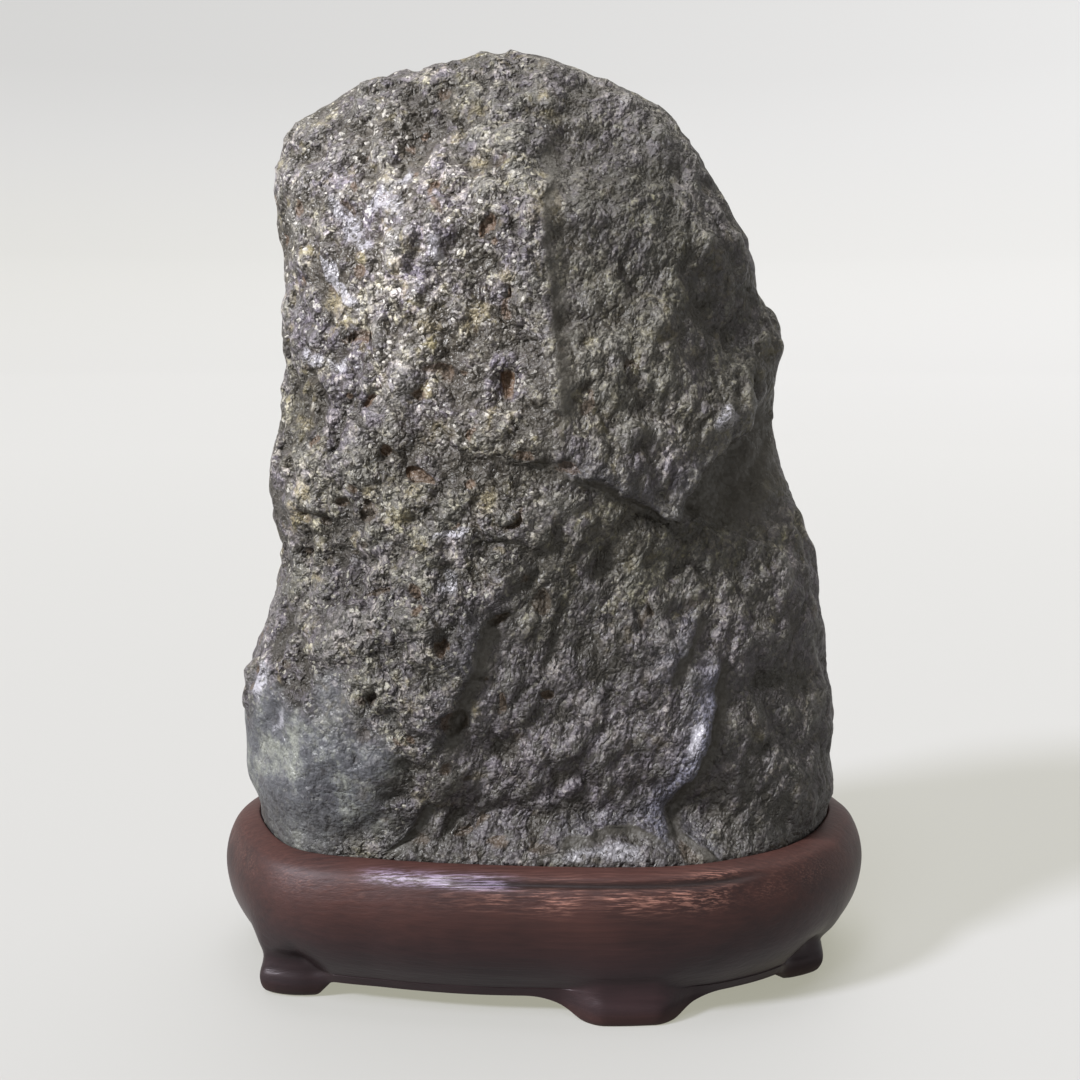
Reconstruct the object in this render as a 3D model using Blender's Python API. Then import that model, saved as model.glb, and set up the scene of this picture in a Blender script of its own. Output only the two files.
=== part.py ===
"""A scholar's rock on its carved hardwood stand.

The stone is one piece, and it rests in a seat cut into the stand, which is one carved piece with its feet.
Metres, +Z up. The origin is under the middle of the stand, and the side that is shown faces -Y.
Every size below is in millimetres, and millimetres become metres where a mesh is made.
"""

import math

import bmesh
import bpy
import numpy as np
from mathutils import Vector, noise

MM = 0.001

# The stand's widest line from above, (across, back), anticlockwise from the left end.
STAND_WIDTH = 91.0
STAND_DEPTH = 56.0
STAND_PLAN = (
    (-46.0, -1.0), (-43.1, -11.5), (-37.2, -20.1), (-22.0, -25.4), (-4.0, -27.6), (12.0, -28.0),
    (26.0, -25.4), (36.0, -19.6), (43.0, -10.5), (46.0, -0.5), (42.0, 11.5), (33.6, 20.6),
    (19.0, 26.2), (0.0, 28.0), (-20.0, 26.0), (-34.0, 20.4), (-42.4, 11.0),
)

# The stand's wall leans more at the ends than at the front and the back.
LIP_AT_ENDS = 4.9
LIP_AT_FRONT = 4.7
WAIST_AT_ENDS = 4.3
WAIST_AT_FRONT = 2.9

# Its section, as (share of the lip's width, height), from the seat's edge out to the widest line.
RIM_HEIGHT = 19.8
LIP = ((1.0, 19.7), (0.92, 19.9), (0.62, 19.4), (0.38, 18.7), (0.22, 17.6), (0.07, 15.7), (0.0, 13.6))
# From there it is (share of the waist's inset, height), down to the waist and the apron's edge.
BELLY = ((0.03, 11.4), (0.17, 9.0), (0.5, 6.6), (1.0, 4.2))
APRON_HEIGHT = 2.7
APRON_THICKNESS = 3.2
APRON_ROUNDING = 0.5
UNDERSIDE_HEIGHT = 5.4
UNDERSIDE_SLOPE = 4.0
# The seat's wall, as (share of its draft, share of its depth), from the floor up.
SEAT_FLOOR = 9.6
SEAT_DRAFT = 3.0
SEAT_WALL = ((1.4, 0.0), (0.85, 0.09), (0.4, 0.6))
INNER_RINGS = (0.4, 0.8)

# The feet, (across, back, half the sole's width, the toe's inset from the widest line, its rounding, and how
# much the inset grows for each millimetre anticlockwise). The corner feet are turned to face the front.
FEET = (
    (-35.6, -20.6, 5.0, 1.2, 1.4, 0.4),
    (10.9, -28.0, 6.4, 0.4, 0.7, 0.0),
    (38.4, -17.4, 3.4, 3.0, 2.0, -0.36),
    (24.0, 25.0, 4.8, 0.6, 1.0, 0.0),
    (-25.0, 25.0, 4.8, 0.6, 1.0, 0.0),
)
# Beside a sole the bracket rises in a hollow curve. The leg stands a little behind its toe.
BRACKET_WIDTH = 7.5
BRACKET_HOLLOW = 2.2
BRACKET_CORNER = 0.8
# A toe that lies farther in than this is tucked behind the apron, and its bracket with it.
TUCKED_FROM = 2.6
TUCKED_TO = 4.0
TOE_BESIDE = 3.0
LEG_BEHIND_TOE = 0.9
# At a foot the waist is this much higher.
WAIST_RISE = 1.3
# Down a foot, as (share of the leg's setback, of the toe's rounding, height, share of the apron's edge).
TOE = ((0.8, 0.0, 4.0, 0.2), (0.25, 0.0, 2.9, 0.45), (0.0, 0.1, 1.8, 0.7), (0.0, 0.45, 0.6, 0.9),
       (0.0, 1.0, 0.0, 1.0))
SOLE_DEPTH = 5.0
# A sole stops this far short of the sunk middle of the underside.
SOLE_STOPS = 1.8
STAND_COLUMNS = 84
EXTRA_COLUMNS_AT_FEET = 1.5

# The stone stands clear of its seat by a hair all round, and is free of it above the blend.
SEAT_GAP = 0.45
SEAT_BLEND = 7.0
FOOT_ROUNDING = (1.0, 3.0)

# The stone is a round cube of cells pressed into its outline, rounder the smaller the roundness.
STONE_CENTRE_HEIGHT = 62.0
STONE_CELLS = 23
STONE_ROUNDNESS = 2.5

# The stone's outline from the front, (across, up), clockwise from the left of the rim.
STONE_OUTLINE = (
    (-40.6, 20.0), (-42.0, 29.0), (-42.6, 36.0), (-41.7, 41.3), (-38.2, 48.0), (-36.2, 54.8),
    (-37.7, 61.8), (-38.0, 66.5), (-35.8, 75.0), (-34.6, 85.0), (-34.9, 96.0), (-35.8, 104.0),
    (-33.9, 112.4), (-28.8, 116.4), (-20.0, 120.4), (-13.7, 121.9), (-7.5, 123.0), (2.6, 121.0),
    (12.4, 117.2), (19.0, 112.1), (23.1, 105.5), (26.4, 98.6), (28.6, 92.0), (31.4, 86.8),
    (31.7, 82.0), (31.2, 76.0), (33.4, 66.0), (36.4, 56.3), (38.5, 47.3), (40.1, 36.0), (40.6, 28.0),
    (41.8, 21.0), (37.0, 10.5), (20.0, 8.6), (-20.0, 8.6), (-37.0, 10.5),
)

# How far the stone reaches to the front and to the back, (height, reach).
FRONT_REACH = ((0.0, 22.5), (20.0, 23.6), (40.0, 23.6), (62.0, 22.2), (85.0, 20.5),
               (105.0, 17.5), (125.0, 13.0))
BACK_REACH = ((0.0, 22.5), (20.0, 23.8), (40.0, 24.5), (62.0, 22.6), (85.0, 18.8),
              (105.0, 15.5), (125.0, 12.0))

# The front is folded along a blunt ridge, (height, across), and falls away to both sides of it.
RIDGE = ((0.0, -19.0), (26.0, -16.0), (37.0, -11.5), (52.0, -8.0), (58.0, -3.5), (73.0, -1.0),
         (96.0, 1.0), (125.0, 0.0))
FALL_LEFT = ((20.0, 0.02), (45.0, 0.12), (80.0, 0.16), (125.0, 0.12))
FALL_RIGHT = ((20.0, 0.02), (45.0, 0.14), (80.0, 0.24), (125.0, 0.2))
RIDGE_SOFTNESS = 5.0

# A ledge runs along its path, (across, up), and stands proud on the left of the way it goes.
# up and down are the height of its lip and the depth below it; the two fades say how wide they spread.
LEDGES = (
    dict(path=((-1.5, 71.6), (5.5, 69.2), (13.0, 65.6), (16.6, 62.9), (17.6, 66.6), (22.4, 70.8),
               (27.0, 74.6), (31.0, 80.5)),
         up=2.0, down=3.4, fade_up=7.0, fade_down=8.0, opens=(0.467, 0.52)),
    dict(path=((11.7, 20.1), (14.7, 24.3), (16.1, 26.4), (18.7, 29.6), (19.9, 31.9), (20.9, 34.9),
               (21.6, 40.2), (22.7, 47.4)),
         up=1.3, down=1.4, fade_up=3.0, fade_down=4.0),
    dict(path=((-14.2, 33.0), (-12.6, 36.5), (-11.2, 41.2), (-9.4, 47.4), (-5.6, 53.6)),
         up=0.3, down=0.9, fade_up=4.0, fade_down=3.5),
    dict(path=((1.6, 71.5), (2.2, 76.0), (1.8, 85.5), (0.4, 96.5), (0.4, 108.0), (-0.4, 116.0)),
         up=0.3, down=1.0, fade_up=5.0, fade_down=8.0),
    dict(path=((15.8, 42.0), (17.0, 45.0), (18.6, 48.0), (21.2, 52.0)),
         up=0.5, down=1.0, fade_up=2.5, fade_down=2.0),
)
# The width over which a lip turns into the drop below it, no finer than the faces here can show.
LEDGE_EDGE = 1.8
LEDGE_TAPER = 0.16
# The drop opens along a ledge where the ledge says so, from this share of its depth and its spread.
ALWAYS_OPEN = (-1.0, -0.5)
LEAST_DROP = 0.25
FRONT_STARTS = (0.05, 0.5)

# Rounded swellings and hollows on the front: (across, up, radius, height).
LUMPS = (
    (15.0, 88.0, 15.0, 2.2),
    (-20.0, 98.0, 14.0, 1.6),
    (24.5, 77.5, 4.0, 1.6),
    (23.5, 88.0, 6.0, -2.4),
    (-23.0, 101.0, 3.5, -1.2),
    (-33.0, 36.0, 10.0, 1.4),
    (-30.0, 56.0, 7.0, -1.2),
    (25.0, 64.0, 6.5, -1.6),
    (-4.0, 80.5, 2.6, -1.3),
    (3.0, 33.0, 11.0, 0.9),
    (-1.5, 55.0, 4.0, -0.7),
)

# Coarse weathering, (size of the lumps, height).
WEATHERING = ((16.0, 2.0), (7.5, 1.0), (3.8, 0.45))
WEATHERING_AT_SIDES = 0.35

# The finishes, as linear colours.
STONE_COLOUR = (0.085, 0.081, 0.082)
STONE_ROUGHNESS = 0.5
WOOD_COLOUR = (0.04, 0.017, 0.014)
WOOD_ROUGHNESS = 0.45


def through(stations, at):
    """A smooth curve through (place, value) stations, read at an array of places."""
    places, values = (np.array(column, float) for column in zip(*stations))
    slopes = np.gradient(values, places)
    at = np.clip(at, places[0], places[-1])
    i = np.clip(np.searchsorted(places, at) - 1, 0, len(places) - 2)
    span = places[i + 1] - places[i]
    t = (at - places[i]) / span
    rise = (3 - 2 * t) * t * t
    lead_in = slopes[i] * span * t * (1 - t) ** 2
    lead_out = slopes[i + 1] * span * t * t * (1 - t)
    return values[i] * (1 - rise) + values[i + 1] * rise + lead_in - lead_out


def through_closed(points, at):
    """The radius of a closed outline of (angle, radius) points, read at an array of angles."""
    ring = sorted(points)
    turn = 2 * math.pi
    before = [(angle - turn, radius) for angle, radius in ring[-3:]]
    after = [(angle + turn, radius) for angle, radius in ring[:3]]
    first = ring[0][0]
    return through(before + ring + after, (at - first) % turn + first)


def ease(low, high, value):
    """0 below low and 1 above high, with a smooth rise between them."""
    t = np.clip((value - low) / (high - low), 0, 1)
    return t * t * (3 - 2 * t)


def polar(points, middle=(0.0, 0.0)):
    """Outline points as (angle, radius) about a middle."""
    offsets = [(a - middle[0], b - middle[1]) for a, b in points]
    return [(math.atan2(b, a), math.hypot(a, b)) for a, b in offsets]


def stand_outline(angle):
    """The stand's widest line, (x, y), in the given directions from the middle."""
    radius = through_closed(polar(STAND_PLAN), angle)
    return np.column_stack([radius * np.cos(angle), radius * np.sin(angle)])


def outward(points):
    """The unit normals of a closed ring of (x, y) points that runs anticlockwise."""
    along = np.roll(points, -1, axis=0) - np.roll(points, 1, axis=0)
    normal = np.column_stack([along[:, 1], -along[:, 0]])
    return normal / np.linalg.norm(normal, axis=1, keepdims=True)


def feet_runs(ring):
    """For each foot, how far every point of the ring is from its middle, and its sizes."""
    step = np.linalg.norm(np.roll(ring, -1, axis=0) - ring, axis=1)
    travelled = np.concatenate([[0], np.cumsum(step)[:-1]])
    around = step.sum()
    for across, back, half_sole, inset, rounding, turned in FEET:
        nearest = np.argmin(np.linalg.norm(ring - (across, back), axis=1))
        run = (travelled - travelled[nearest] + around / 2) % around - around / 2
        reach = half_sole + TOE_BESIDE
        yield np.abs(run), half_sole, inset + turned * np.clip(run, -reach, reach), rounding


def stand_ring(columns):
    """The widest line in columns, packed closer at the feet, fitted to the stand's width and depth."""
    fine = stand_outline(np.linspace(0, 2 * math.pi, 2880, endpoint=False))
    low, high = fine.min(axis=0), fine.max(axis=0)
    fine = (fine - (low + high) / 2) * (STAND_WIDTH, STAND_DEPTH) / (high - low)
    close = np.max([1 - ease(half_sole, half_sole + BRACKET_WIDTH, run)
                    for run, half_sole, _, _ in feet_runs(fine)], axis=0)
    step = np.linalg.norm(np.roll(fine, -1, axis=0) - fine, axis=1)
    share = np.concatenate([[0], np.cumsum(step * (1 + EXTRA_COLUMNS_AT_FEET * close))])
    wanted = np.arange(columns) / columns * share[-1]
    closed = np.vstack([fine, fine[:1]])
    return np.column_stack([np.interp(wanted, share, closed[:, 0]), np.interp(wanted, share, closed[:, 1])])


def by_facing(normal, at_ends, at_front):
    """A width that changes from the stand's ends to its front and back."""
    return at_ends + (at_front - at_ends) * normal[:, 1] ** 2


def feet_around(ring):
    """How far down and out the foot is at each point of the ring, and its toe's inset and rounding."""
    down, out, toe, rounding = np.zeros((4, len(ring)))
    for run, half_sole, foot_inset, foot_rounding in feet_runs(ring):
        foot_out = 1 - ease(half_sole / 2, half_sole + TOE_BESIDE, run)
        past = run - half_sole
        past = (past + np.hypot(past, BRACKET_CORNER)) / 2
        bracket = (1 - np.clip(past / BRACKET_WIDTH, 0, 1)) ** BRACKET_HOLLOW
        tucked = ease(TUCKED_FROM, TUCKED_TO, foot_inset)
        bracket = bracket * (1 - tucked) + np.minimum(bracket, foot_out) * tucked
        toe = np.where(bracket > down, foot_inset, toe)
        rounding = np.where(bracket > down, foot_rounding, rounding)
        down = np.maximum(down, bracket)
        out = np.maximum(out, foot_out)
    return down, out, toe, rounding


def stand_rings(columns):
    """The stand's section as rings of (x, y, z), from the seat's floor out, over and under."""
    ring = stand_ring(columns)
    normal = outward(ring)
    lip = by_facing(normal, LIP_AT_ENDS, LIP_AT_FRONT)
    waist = by_facing(normal, WAIST_AT_ENDS, WAIST_AT_FRONT)
    down, out, toe, rounding = feet_around(ring)
    leg = waist + np.minimum(toe + LEG_BEHIND_TOE - waist, 0) * out

    def at(inset, height):
        flat = ring - normal * np.broadcast_to(inset, down.shape)[:, None]
        return np.column_stack([flat, np.broadcast_to(height, down.shape)])

    def toe_ring(behind, under, height, share):
        on_foot = toe + LEG_BEHIND_TOE * behind + rounding * under
        beside = waist + APRON_ROUNDING * share
        apron = BELLY[-1][1] + (APRON_HEIGHT - BELLY[-1][1]) * share
        return at(beside + (on_foot - beside) * out, apron + (height - apron) * down)

    seat_depth = RIM_HEIGHT - SEAT_FLOOR
    seat = [at(lip + SEAT_DRAFT * share, SEAT_FLOOR + seat_depth * up) for share, up in SEAT_WALL]
    floor = [seat[0] * (share, share, 1) for share in INNER_RINGS]
    rim = [at(lip * share, height) for share, height in LIP]
    belly = [at(leg * share, height + WAIST_RISE * share * out) for share, height in BELLY]
    toes = [toe_ring(*station) for station in TOE]
    edge = waist + APRON_ROUNDING
    sunk = edge + APRON_THICKNESS + UNDERSIDE_SLOPE
    sole = np.minimum(toe + rounding + SOLE_DEPTH, sunk - SOLE_STOPS)
    apron = at(edge + APRON_THICKNESS + (sole - edge - APRON_THICKNESS) * down, APRON_HEIGHT * (1 - down))
    under = at(sunk, UNDERSIDE_HEIGHT)
    inner = [under * (share, share, 1) for share in reversed(INNER_RINGS)]
    return floor + seat + rim + belly + toes + [apron, under] + inner


def seat_radius(angle, height):
    """How far the seat's wall is from the stand's middle, by direction and height."""
    ring = stand_ring(720)
    normal = outward(ring)
    lip = by_facing(normal, LIP_AT_ENDS, LIP_AT_FRONT)

    def reach(draft):
        inner = ring - normal * (lip + draft)[:, None]
        turned = np.arctan2(inner[:, 1], inner[:, 0])
        return np.interp(angle, turned, np.hypot(inner[:, 0], inner[:, 1]), period=2 * math.pi)

    up = np.clip((height - SEAT_FLOOR) / (RIM_HEIGHT - SEAT_FLOOR), 0, 1)
    return reach(0.0) * up + reach(SEAT_DRAFT) * (1 - up)


def skin(name, rings, first_centre, last_centre):
    """One closed mesh through rings of equal length, with a fan at each end."""
    bm = bmesh.new()
    loops = [[bm.verts.new(Vector(point) * MM) for point in ring] for ring in rings]
    for inner, outer in zip(loops, loops[1:]):
        for i in range(len(inner)):
            j = (i + 1) % len(inner)
            bm.faces.new((inner[i], outer[i], outer[j], inner[j]))
    for loop, centre in ((loops[0], first_centre), (loops[-1], last_centre)):
        middle = bm.verts.new(Vector(centre) * MM)
        for i in range(len(loop)):
            bm.faces.new((loop[i], loop[(i + 1) % len(loop)], middle))
    bmesh.ops.recalc_face_normals(bm, faces=bm.faces)
    return finished(name, bm)


def finished(name, bm):
    """The object for a bmesh, shaded smooth, in the scene."""
    mesh = bpy.data.meshes.new(name)
    bm.to_mesh(mesh)
    bm.free()
    mesh.shade_smooth()
    obj = bpy.data.objects.new(name, mesh)
    bpy.context.scene.collection.objects.link(obj)
    return obj


def round_cube(cells):
    """A cube of cells x cells faces a side, blown up to a unit sphere of nearly equal faces."""
    bm = bmesh.new()
    bmesh.ops.create_cube(bm, size=2)
    bmesh.ops.subdivide_edges(bm, edges=bm.edges, cuts=cells - 1, use_grid_fill=True)
    for vertex in bm.verts:
        warped = Vector([math.tan(c * math.pi / 4) for c in vertex.co])
        vertex.co = warped.normalized()
    return bm


def stone_body(direction):
    """Where the smooth stone's surface is, for unit directions from its middle."""
    across, deep, up = direction.T
    round_about = np.arctan2(up, across)
    flat = np.hypot(across, up)
    scale = (flat**STONE_ROUNDNESS + np.abs(deep) ** STONE_ROUNDNESS) ** (-1 / STONE_ROUNDNESS)
    outline = polar(STONE_OUTLINE, (0.0, STONE_CENTRE_HEIGHT))
    reach = through_closed(outline, round_about) * flat * scale
    x = reach * np.cos(round_about)
    z = STONE_CENTRE_HEIGHT + reach * np.sin(round_about)
    depth = np.abs(deep) * scale
    front = -through(FRONT_REACH, z) * depth
    back = through(BACK_REACH, z) * depth
    away = x - through(RIDGE, z)
    slope = np.where(away < 0, through(FALL_LEFT, z), through(FALL_RIGHT, z))
    fall = slope * (np.sqrt(away**2 + RIDGE_SOFTNESS**2) - RIDGE_SOFTNESS)
    front = np.minimum(front + fall * depth, 0)
    y = np.where(deep < 0, front, back)
    return np.column_stack([x, y, z])


def beside(path, x, z):
    """Signed distance to a path (positive on its left) and the place along it, 0 to 1."""
    path = np.array(path, float)
    best = np.full(len(x), 1e9)
    signed = np.zeros(len(x))
    place = np.zeros(len(x))
    lengths = np.linalg.norm(np.diff(path, axis=0), axis=1)
    start = np.concatenate([[0], np.cumsum(lengths)])
    for a, b, length, s in zip(path, path[1:], lengths, start):
        t = np.clip(((x - a[0]) * (b[0] - a[0]) + (z - a[1]) * (b[1] - a[1])) / length**2, 0, 1)
        across = x - a[0] - t * (b[0] - a[0])
        up = z - a[1] - t * (b[1] - a[1])
        side = ((b[0] - a[0]) * (z - a[1]) - (b[1] - a[1]) * (x - a[0])) / length
        # Past a corner both runs are as near, and the one that is seen more from the side decides.
        distance = np.hypot(across, up) - 0.001 * np.abs(side)
        nearer = distance < best
        best = np.where(nearer, distance, best)
        signed = np.where(nearer, np.sign(side) * distance, signed)
        place = np.where(nearer, (s + t * length) / start[-1], place)
    return signed, place


def relief(x, z):
    """How far the ledges and lumps of the front stand out from the smooth stone."""
    height = np.zeros(len(x))
    for ledge in LEDGES:
        signed, place = beside(ledge["path"], x, z)
        taper = ease(0, LEDGE_TAPER, place) * ease(0, LEDGE_TAPER, 1 - place)
        proud = 0.5 + 0.5 * np.tanh(signed / LEDGE_EDGE)
        opened = LEAST_DROP + (1 - LEAST_DROP) * ease(*ledge.get("opens", ALWAYS_OPEN), place)
        lip = ledge["up"] * np.exp(-np.abs(signed) / ledge["fade_up"])
        hollow = ledge["down"] * opened * np.exp(-np.abs(signed) / (ledge["fade_down"] * opened))
        height += taper * (proud * lip - (1 - proud) * hollow)
    for across, up, radius, rise in LUMPS:
        height += rise * np.exp(-((x - across) ** 2 + (z - up) ** 2) / radius**2)
    return height


def weathering(points):
    """The stone's coarse lumps, as a height at each point."""
    height = np.zeros(len(points))
    for size, rise in WEATHERING:
        height += rise * np.array([noise.noise(Vector(p) / size + Vector((size, 0, 0))) for p in points])
    return height


def seated(points):
    """The stone's foot drawn to the seat's wall and floor, with the gap."""
    x, y, z = points.T
    angle = np.arctan2(y, x)
    radius = np.hypot(x, y)
    wall = seat_radius(angle, z) - SEAT_GAP
    upright = ease(*FOOT_ROUNDING, z - SEAT_FLOOR)
    snug = np.minimum(wall, radius + (wall - radius) * upright)
    held = 1 - ease(0, SEAT_BLEND, z - RIM_HEIGHT)
    radius = radius + (snug - radius) * held
    z = np.maximum(z, SEAT_FLOOR + SEAT_GAP)
    return np.column_stack([radius * np.cos(angle), radius * np.sin(angle), z])


def make_stone(cells):
    """The stone, as a round cube moved to its body, its ledges and its weathering."""
    bm = round_cube(cells)
    bm.verts.ensure_lookup_table()
    direction = np.array([v.co for v in bm.verts])
    points = stone_body(direction)
    for vertex, point in zip(bm.verts, points):
        vertex.co = point
    bm.normal_update()
    normal = np.array([v.normal for v in bm.verts])
    facing = ease(*FRONT_STARTS, -direction[:, 1])
    points[:, 1] -= relief(points[:, 0], points[:, 2]) * facing
    worn = WEATHERING_AT_SIDES + (1 - WEATHERING_AT_SIDES) * np.abs(direction[:, 1])
    points += normal * (weathering(points) * worn)[:, None]
    points = seated(points)
    for vertex, point in zip(bm.verts, points):
        vertex.co = Vector(point) * MM
    bmesh.ops.recalc_face_normals(bm, faces=bm.faces)
    return finished("rock", bm)


def finish_of(name, colour, roughness):
    """A plain finish: a Principled BSDF with its colour and roughness."""
    material = bpy.data.materials.new(name)
    material.use_nodes = True
    shader = material.node_tree.nodes["Principled BSDF"]
    shader.inputs["Base Color"].default_value = (*colour, 1)
    shader.inputs["Roughness"].default_value = roughness
    shader.inputs["Metallic"].default_value = 0
    return material


def main():
    for obj in list(bpy.data.objects):
        bpy.data.objects.remove(obj)
    rock = make_stone(STONE_CELLS)
    rock.data.materials.append(finish_of("stone", STONE_COLOUR, STONE_ROUGHNESS))
    rings = stand_rings(STAND_COLUMNS)
    stand = skin("stand", rings, (0, 0, SEAT_FLOOR), (0, 0, UNDERSIDE_HEIGHT))
    stand.data.materials.append(finish_of("hardwood", WOOD_COLOUR, WOOD_ROUGHNESS))


main()
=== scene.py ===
# %% [markdown]
# A scholar's rock is a natural stone that is kept for its shape and shown on a carved stand.
# This lesson dresses one. The stone is dark, pitted on the left and grained like bark on the right.
# The stand is a low oval of red-brown hardwood with a broad rim, a tucked-in waist and five short feet.
# The plain solids are loaded first. They are in metres, the origin is on the table under the middle of the
# stand, +Z is up and the side that is shown faces -Y. Each piece below is made in that same place.

# %% The plain solids
import math

import bmesh
import bpy
import numpy as np
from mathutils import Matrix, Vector, noise


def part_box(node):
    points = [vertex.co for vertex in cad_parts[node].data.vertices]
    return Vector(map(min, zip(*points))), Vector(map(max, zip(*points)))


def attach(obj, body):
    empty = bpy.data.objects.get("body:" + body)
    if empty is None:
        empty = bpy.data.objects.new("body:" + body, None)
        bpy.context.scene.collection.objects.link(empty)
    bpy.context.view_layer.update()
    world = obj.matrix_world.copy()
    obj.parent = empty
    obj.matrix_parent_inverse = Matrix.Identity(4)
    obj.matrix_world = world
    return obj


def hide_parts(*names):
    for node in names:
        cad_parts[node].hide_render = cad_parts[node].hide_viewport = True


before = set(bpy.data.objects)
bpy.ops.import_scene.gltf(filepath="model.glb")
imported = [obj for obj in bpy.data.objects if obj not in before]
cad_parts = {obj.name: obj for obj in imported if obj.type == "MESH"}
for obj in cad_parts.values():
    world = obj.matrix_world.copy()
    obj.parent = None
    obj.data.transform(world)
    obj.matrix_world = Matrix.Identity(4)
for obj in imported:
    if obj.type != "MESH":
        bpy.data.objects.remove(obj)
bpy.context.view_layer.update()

MM = 0.001
scene = bpy.context.scene
for name in sorted(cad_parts):
    low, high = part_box(name)
    print(name, "is", [round(side / MM, 1) for side in high - low], "mm and starts at", round(low.z / MM, 1))


# %% [markdown]
# The camera stands 185 mm in front of the middle of the stand and a little above the middle of the stone.
# A lens is easiest to match as a number of pixels: an object one metre away and one metre wide spans that
# many. The same number gives the tilt, from how far the horizon is above the middle of the picture.

# %% The camera
FRAME_PIXELS = 1080
FOCAL_PIXELS = 1342
HORIZON_ABOVE_MIDDLE = 222
SENSOR = 36.0
CAMERA_PLACE = Vector((-0.7, -185.0, 88.8)) * MM

camera_data = bpy.data.cameras.new("camera")
camera_data.sensor_width = SENSOR
camera_data.lens = SENSOR * FOCAL_PIXELS / FRAME_PIXELS
camera_data.clip_start = 10 * MM
camera = bpy.data.objects.new("camera", camera_data)
tilt = math.atan2(HORIZON_ABOVE_MIDDLE, FOCAL_PIXELS)
camera.location = CAMERA_PLACE
camera.rotation_euler = (math.pi / 2 - tilt, 0, 0)
scene.collection.objects.link(camera)
scene.camera = camera
print("lens", round(camera_data.lens, 1), "mm, looking down", round(math.degrees(tilt), 1), "degrees")


# %% [markdown]
# Two kinds of curve are needed again and again. A carver marks a few stations and sweeps a smooth line
# through them. That is a cubic curve, whose slope at each station comes from its neighbours. A closed outline
# is the same curve drawn round a circle of angles.

# %% Smooth lines through a few stations
def swept(first, last, slope_in, slope_out, t):
    """A smooth way from one value to the next, with a slope for each end, at a share t of the way."""
    rise = (3 - 2 * t) * t * t
    return first * (1 - rise) + last * rise + slope_in * t * (1 - t) ** 2 - slope_out * t * t * (1 - t)


def through(stations, at):
    """A smooth curve through (place, value) stations, read at an array of places."""
    places, values = (np.array(column, float) for column in zip(*stations))
    slopes = np.gradient(values, places)
    at = np.clip(at, places[0], places[-1])
    i = np.clip(np.searchsorted(places, at) - 1, 0, len(places) - 2)
    span = places[i + 1] - places[i]
    t = (at - places[i]) / span
    return swept(values[i], values[i + 1], slopes[i] * span, slopes[i + 1] * span, t)


def through_closed(points, at):
    """The radius of a closed outline of (angle, radius) points, read at an array of angles."""
    ring = sorted(points)
    turn = 2 * math.pi
    before = [(angle - turn, radius) for angle, radius in ring[-3:]]
    after = [(angle + turn, radius) for angle, radius in ring[:3]]
    first = ring[0][0]
    return through(before + ring + after, (at - first) % turn + first)


def polar(points, middle=(0.0, 0.0)):
    """Outline points as (angle, radius) about a middle."""
    offsets = [(a - middle[0], b - middle[1]) for a, b in points]
    return [(math.atan2(b, a), math.hypot(a, b)) for a, b in offsets]


def ease(low, high, value):
    """0 below low and 1 above high, with a smooth rise between them."""
    t = np.clip((value - low) / (high - low), 0, 1)
    return t * t * (3 - 2 * t)


# %% [markdown]
# The stand comes first, because the stone has to fit its seat. From above its widest line is an uneven oval,
# as it is when somebody follows a stone and not a compass. The points run anticlockwise from the left end.
# Five feet stand along that line. Each is measured by how far a point of the line is from the foot's middle,
# so one rule makes them all. The feet at the two ends are turned, and the right one is tucked in.

# %% The stand's widest line
STAND_WIDTH = 91.0
STAND_DEPTH = 56.0
FINE_STEPS = 2880
STAND_COLUMNS = 480
STAND_PLAN = (
    (-46.0, -1.0), (-43.1, -11.5), (-37.2, -20.1), (-22.0, -25.4), (-4.0, -27.6), (12.0, -28.0),
    (26.0, -25.4), (36.0, -19.6), (43.0, -10.5), (46.0, -0.5), (42.0, 11.5), (33.6, 20.6),
    (19.0, 26.2), (0.0, 28.0), (-20.0, 26.0), (-34.0, 20.4), (-42.4, 11.0),
)
# The feet, (across, back, half the sole's width, the toe's inset from the widest line, its rounding, and how
# much the inset grows for each millimetre anticlockwise, which turns the foot).
FEET = (
    (-35.6, -20.6, 5.0, 1.2, 1.4, 0.4),
    (10.9, -28.0, 6.4, 0.4, 0.7, 0.0),
    (38.4, -17.4, 3.4, 3.0, 2.0, -0.36),
    (24.0, 25.0, 4.8, 0.6, 1.0, 0.0),
    (-25.0, 25.0, 4.8, 0.6, 1.0, 0.0),
)
# Beside a sole the bracket rises in a hollow curve. The leg stands a little behind its toe.
BRACKET_WIDTH = 7.5
BRACKET_HOLLOW = 2.2
BRACKET_CORNER = 0.8
# A toe that lies farther in than this is tucked behind the apron, and its bracket with it.
TUCKED_FROM = 2.6
TUCKED_TO = 4.0
TOE_BESIDE = 3.0
LEG_BEHIND_TOE = 0.9
# At a foot the waist is this much higher.
WAIST_RISE = 1.3


def outward(points):
    """The unit normals of a closed ring of (x, y) points that runs anticlockwise."""
    along = np.roll(points, -1, axis=0) - np.roll(points, 1, axis=0)
    normal = np.column_stack([along[:, 1], -along[:, 0]])
    return normal / np.linalg.norm(normal, axis=1, keepdims=True)


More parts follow.
